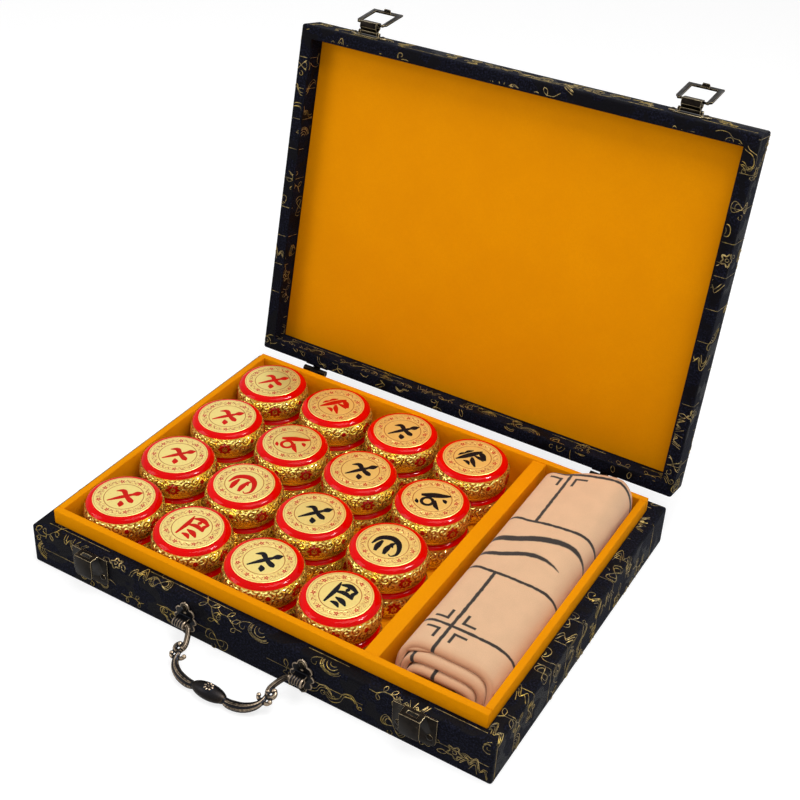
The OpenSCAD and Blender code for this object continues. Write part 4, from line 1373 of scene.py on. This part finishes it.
class CASE_OT_handle(bpy.types.Operator):
    """Casts the handle, its mounts and nails"""
    bl_idname = "chesscase.handle"
    bl_label = "Handle"

    def execute(self, context):
        looks = context.scene.metal_looks
        cast = aged_bronze(looks, "cast_bronze", True)
        grip = plump_grip(looks)
        cast_copy("handle_bail", "cast_handle", looks.cast_grain * 0.7, 6, cast, [grip])
        bpy.data.meshes.remove(grip)
        cast_copy("handle_mounts", "cast_mounts", looks.cast_grain * 0.8, 2, cast)
        rounded_copy("handle_nails", "handle_nail_heads", looks.edge,
                     aged_bronze(looks, "nail_bronze"))
        return {"FINISHED"}


class CASE_OT_tokens(bpy.types.Operator):
    """Turns, embosses, enamels and paints the thirty-two tokens"""
    bl_idname = "chesscase.tokens"
    bl_label = "Tokens"

    def execute(self, context):
        looks = context.scene.token_looks
        side, disc = gilt_side(looks), gilt_disc(looks)
        band = enamel("enamel_band", looks.enamel)
        paints = {"red": enamel("red_sign_paint", looks.red, 0.3),
                  "black": enamel("black_sign_paint", looks.black, 0.2)}
        tokens = sorted(node for node in frame["nodes"] if node.startswith("token_") and "tray" not in node)
        low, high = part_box(tokens[0])
        radius, height = (high.x - low.x) / 2, high.z - low.z
        blank = blank_token(looks, radius, height)
        signs = {kind: sign_strokes(looks, kind, height) for kind in SIGNS}
        chance = random.Random(SPIN_SEED)
        for node in tokens:
            _, team, kind = node.split("_")[:3]
            low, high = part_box(node)
            foot = Vector(((low.x + high.x) / 2, (low.y + high.y) / 2, low.z))
            body = blank.copy()
            body.transform(Matrix.Rotation(chance.uniform(0, math.tau), 4, "Z"))
            bm = bmesh.new()
            bm.from_mesh(body)
            count = len(bm.faces)
            bm.from_mesh(signs[kind])
            bm.faces.ensure_lookup_table()
            for face in bm.faces[count:]:
                face.material_index = SIGN
                face.smooth = True
            bmesh.ops.transform(bm, matrix=Matrix.Translation(foot), verts=bm.verts)
            name = node.replace("token_", "") + "_piece"
            bpy.data.meshes.remove(body)
            new_piece(name, plain_mesh(bm, name), body_of_node(node),
                      [side, band, disc, paints[team]], [node])
        return {"FINISHED"}


class CASE_OT_mat(bpy.types.Operator):
    """Folds, rolls and draws the cloth mat"""
    bl_idname = "chesscase.mat"
    bl_label = "Rolled mat"

    def execute(self, context):
        looks = context.scene.mat_looks
        mesh = rolled_mat(looks)
        piece = new_piece("rolled_mat", mesh, "mat", [inked_felt(looks)], ["playing_mat"])
        shell = piece.modifiers.new("thickness", "SOLIDIFY")
        shell.thickness = looks.thickness
        shell.offset = 0
        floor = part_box("mat_tray_floor")[1].z
        clearance = 0.5 * MM
        room = closed_box("lid_lining")[0].z - clearance - floor
        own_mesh(piece)
        return {"FINISHED"}


class CASE_OT_stage(bpy.types.Operator):
    """Sets the floor, the lamps and the camera"""
    bl_idname = "chesscase.stage"
    bl_label = "Stage"

    def execute(self, context):
        looks = context.scene.stage_looks
        scene = context.scene
        scene.view_settings.view_transform = "Standard"
        bm = bmesh.new()
        half_size, drop = 6, 0.02 * MM
        bmesh.ops.create_grid(bm, x_segments=1, y_segments=1, size=half_size)
        floor = added("floor", plain_mesh(bm, "floor"))
        floor.location.z = -drop
        f = Finish("floor_paper")
        paper = f.node("BsdfPrincipled", None, {
            "Base Color": f.mix(f.noise(f.place(), 3) * 0.3, looks.floor, (0.9, 0.9, 0.9)),
            "Roughness": 0.9, "Specular IOR Level": 0.1})
        glow = f.node("Emission", None, {"Strength": looks.floor_glow})
        seen = f.node("LightPath") * looks.glow_share
        floor.data.materials.append(f.shown(f.node("MixShader", None, {0: seen, 1: paper, 2: glow})))
        self.sky(scene, looks)
        self.lamp("top_softbox", (0.3, 0.03, 1.25), (0.05, 0, 0), (0.9, 0.7), looks.top_light)
        self.lamp("left_softbox", (-1.2, -0.9, 0.9), (0, 0, 0.05), (0.7, 0.9), looks.left_light)
        self.lamp("front_softbox", (0.7, -1.5, 0.7), (0, 0, 0.1), (0.9, 0.6), looks.front_light)
        panel = self.lamp("shine_panel", (0.68, 0.3, 1.15), (0, -0.05, 0.04), (0.37, 0.2), looks.shine)
        panel.visible_diffuse = False
        lens = bpy.data.cameras.new("camera")
        lens.sensor_width = 36
        lens.lens = looks.lens
        lens.shift_x = looks.shift_x
        lens.shift_y = looks.shift_y
        scene.camera = added("camera", lens)
        scene.camera.location = looks.place
        scene.camera.rotation_euler = looks.turn
        return {"FINISHED"}

    def sky(self, scene, looks):
        """Even surroundings, whiter where the camera or a polished face looks into them."""
        f = Finish("studio", "worlds")
        scene.world = f.owner
        camera = f.node("LightPath")
        polish = Wire(f, camera.socket.node.outputs["Is Glossy Ray"])
        strength = f.node("MapRange", None, {"Value": f.most(camera, polish), "To Min": looks.sky,
                                             "To Max": 1.0})
        lifted = f.maths("MULTIPLY_ADD", camera, looks.horizon, strength)
        f.node("OutputWorld", None, {0: f.node("Background", None, {"Strength": lifted})})

    def lamp(self, name, place, target, spread, power):
        """A rectangular lamp at one place that points at another."""
        data = bpy.data.lights.new(name, "AREA")
        data.shape = "RECTANGLE"
        data.size, data.size_y = spread
        data.energy = power
        lamp = added(name, data)
        lamp.location = place
        aim = Vector(target) - Vector(place)
        lamp.rotation_euler = aim.to_track_quat("-Z", "Y").to_euler()
        return lamp


STEPS = (CASE_OT_cloth, CASE_OT_threads, CASE_OT_boards, CASE_OT_metalwork, CASE_OT_handle,
         CASE_OT_tokens, CASE_OT_mat, CASE_OT_stage)
GROUPS = {"case_looks": CaseLooks, "metal_looks": MetalLooks, "token_looks": TokenLooks,
          "mat_looks": MatLooks, "stage_looks": StageLooks}


class CASE_PT_panel(bpy.types.Panel):
    """Lists the steps and their sizes and colours"""
    bl_idname = "CASE_PT_panel"
    bl_label = "Chess Case"
    bl_space_type = "VIEW_3D"
    bl_region_type = "UI"
    bl_category = "Chess Case"

    def draw(self, context):
        for step in STEPS:
            self.layout.operator(step.bl_idname)
        for name, group in GROUPS.items():
            box = self.layout.box()
            box.label(text=group.__doc__)
            for key in group.__annotations__:
                box.prop(getattr(context.scene, name), key)


def register():
    for made in (*GROUPS.values(), *STEPS, CASE_PT_panel):
        bpy.utils.register_class(made)
    for name, group in GROUPS.items():
        setattr(bpy.types.Scene, name, PointerProperty(type=group))


def unregister():
    for name in GROUPS:
        delattr(bpy.types.Scene, name)
    for made in reversed((*GROUPS.values(), *STEPS, CASE_PT_panel)):
        bpy.utils.unregister_class(made)


def main():
    register()
    for step in STEPS:
        family, name = step.bl_idname.split(".")
        getattr(getattr(bpy.ops, family), name)()


if __name__ == "__main__":
    main()
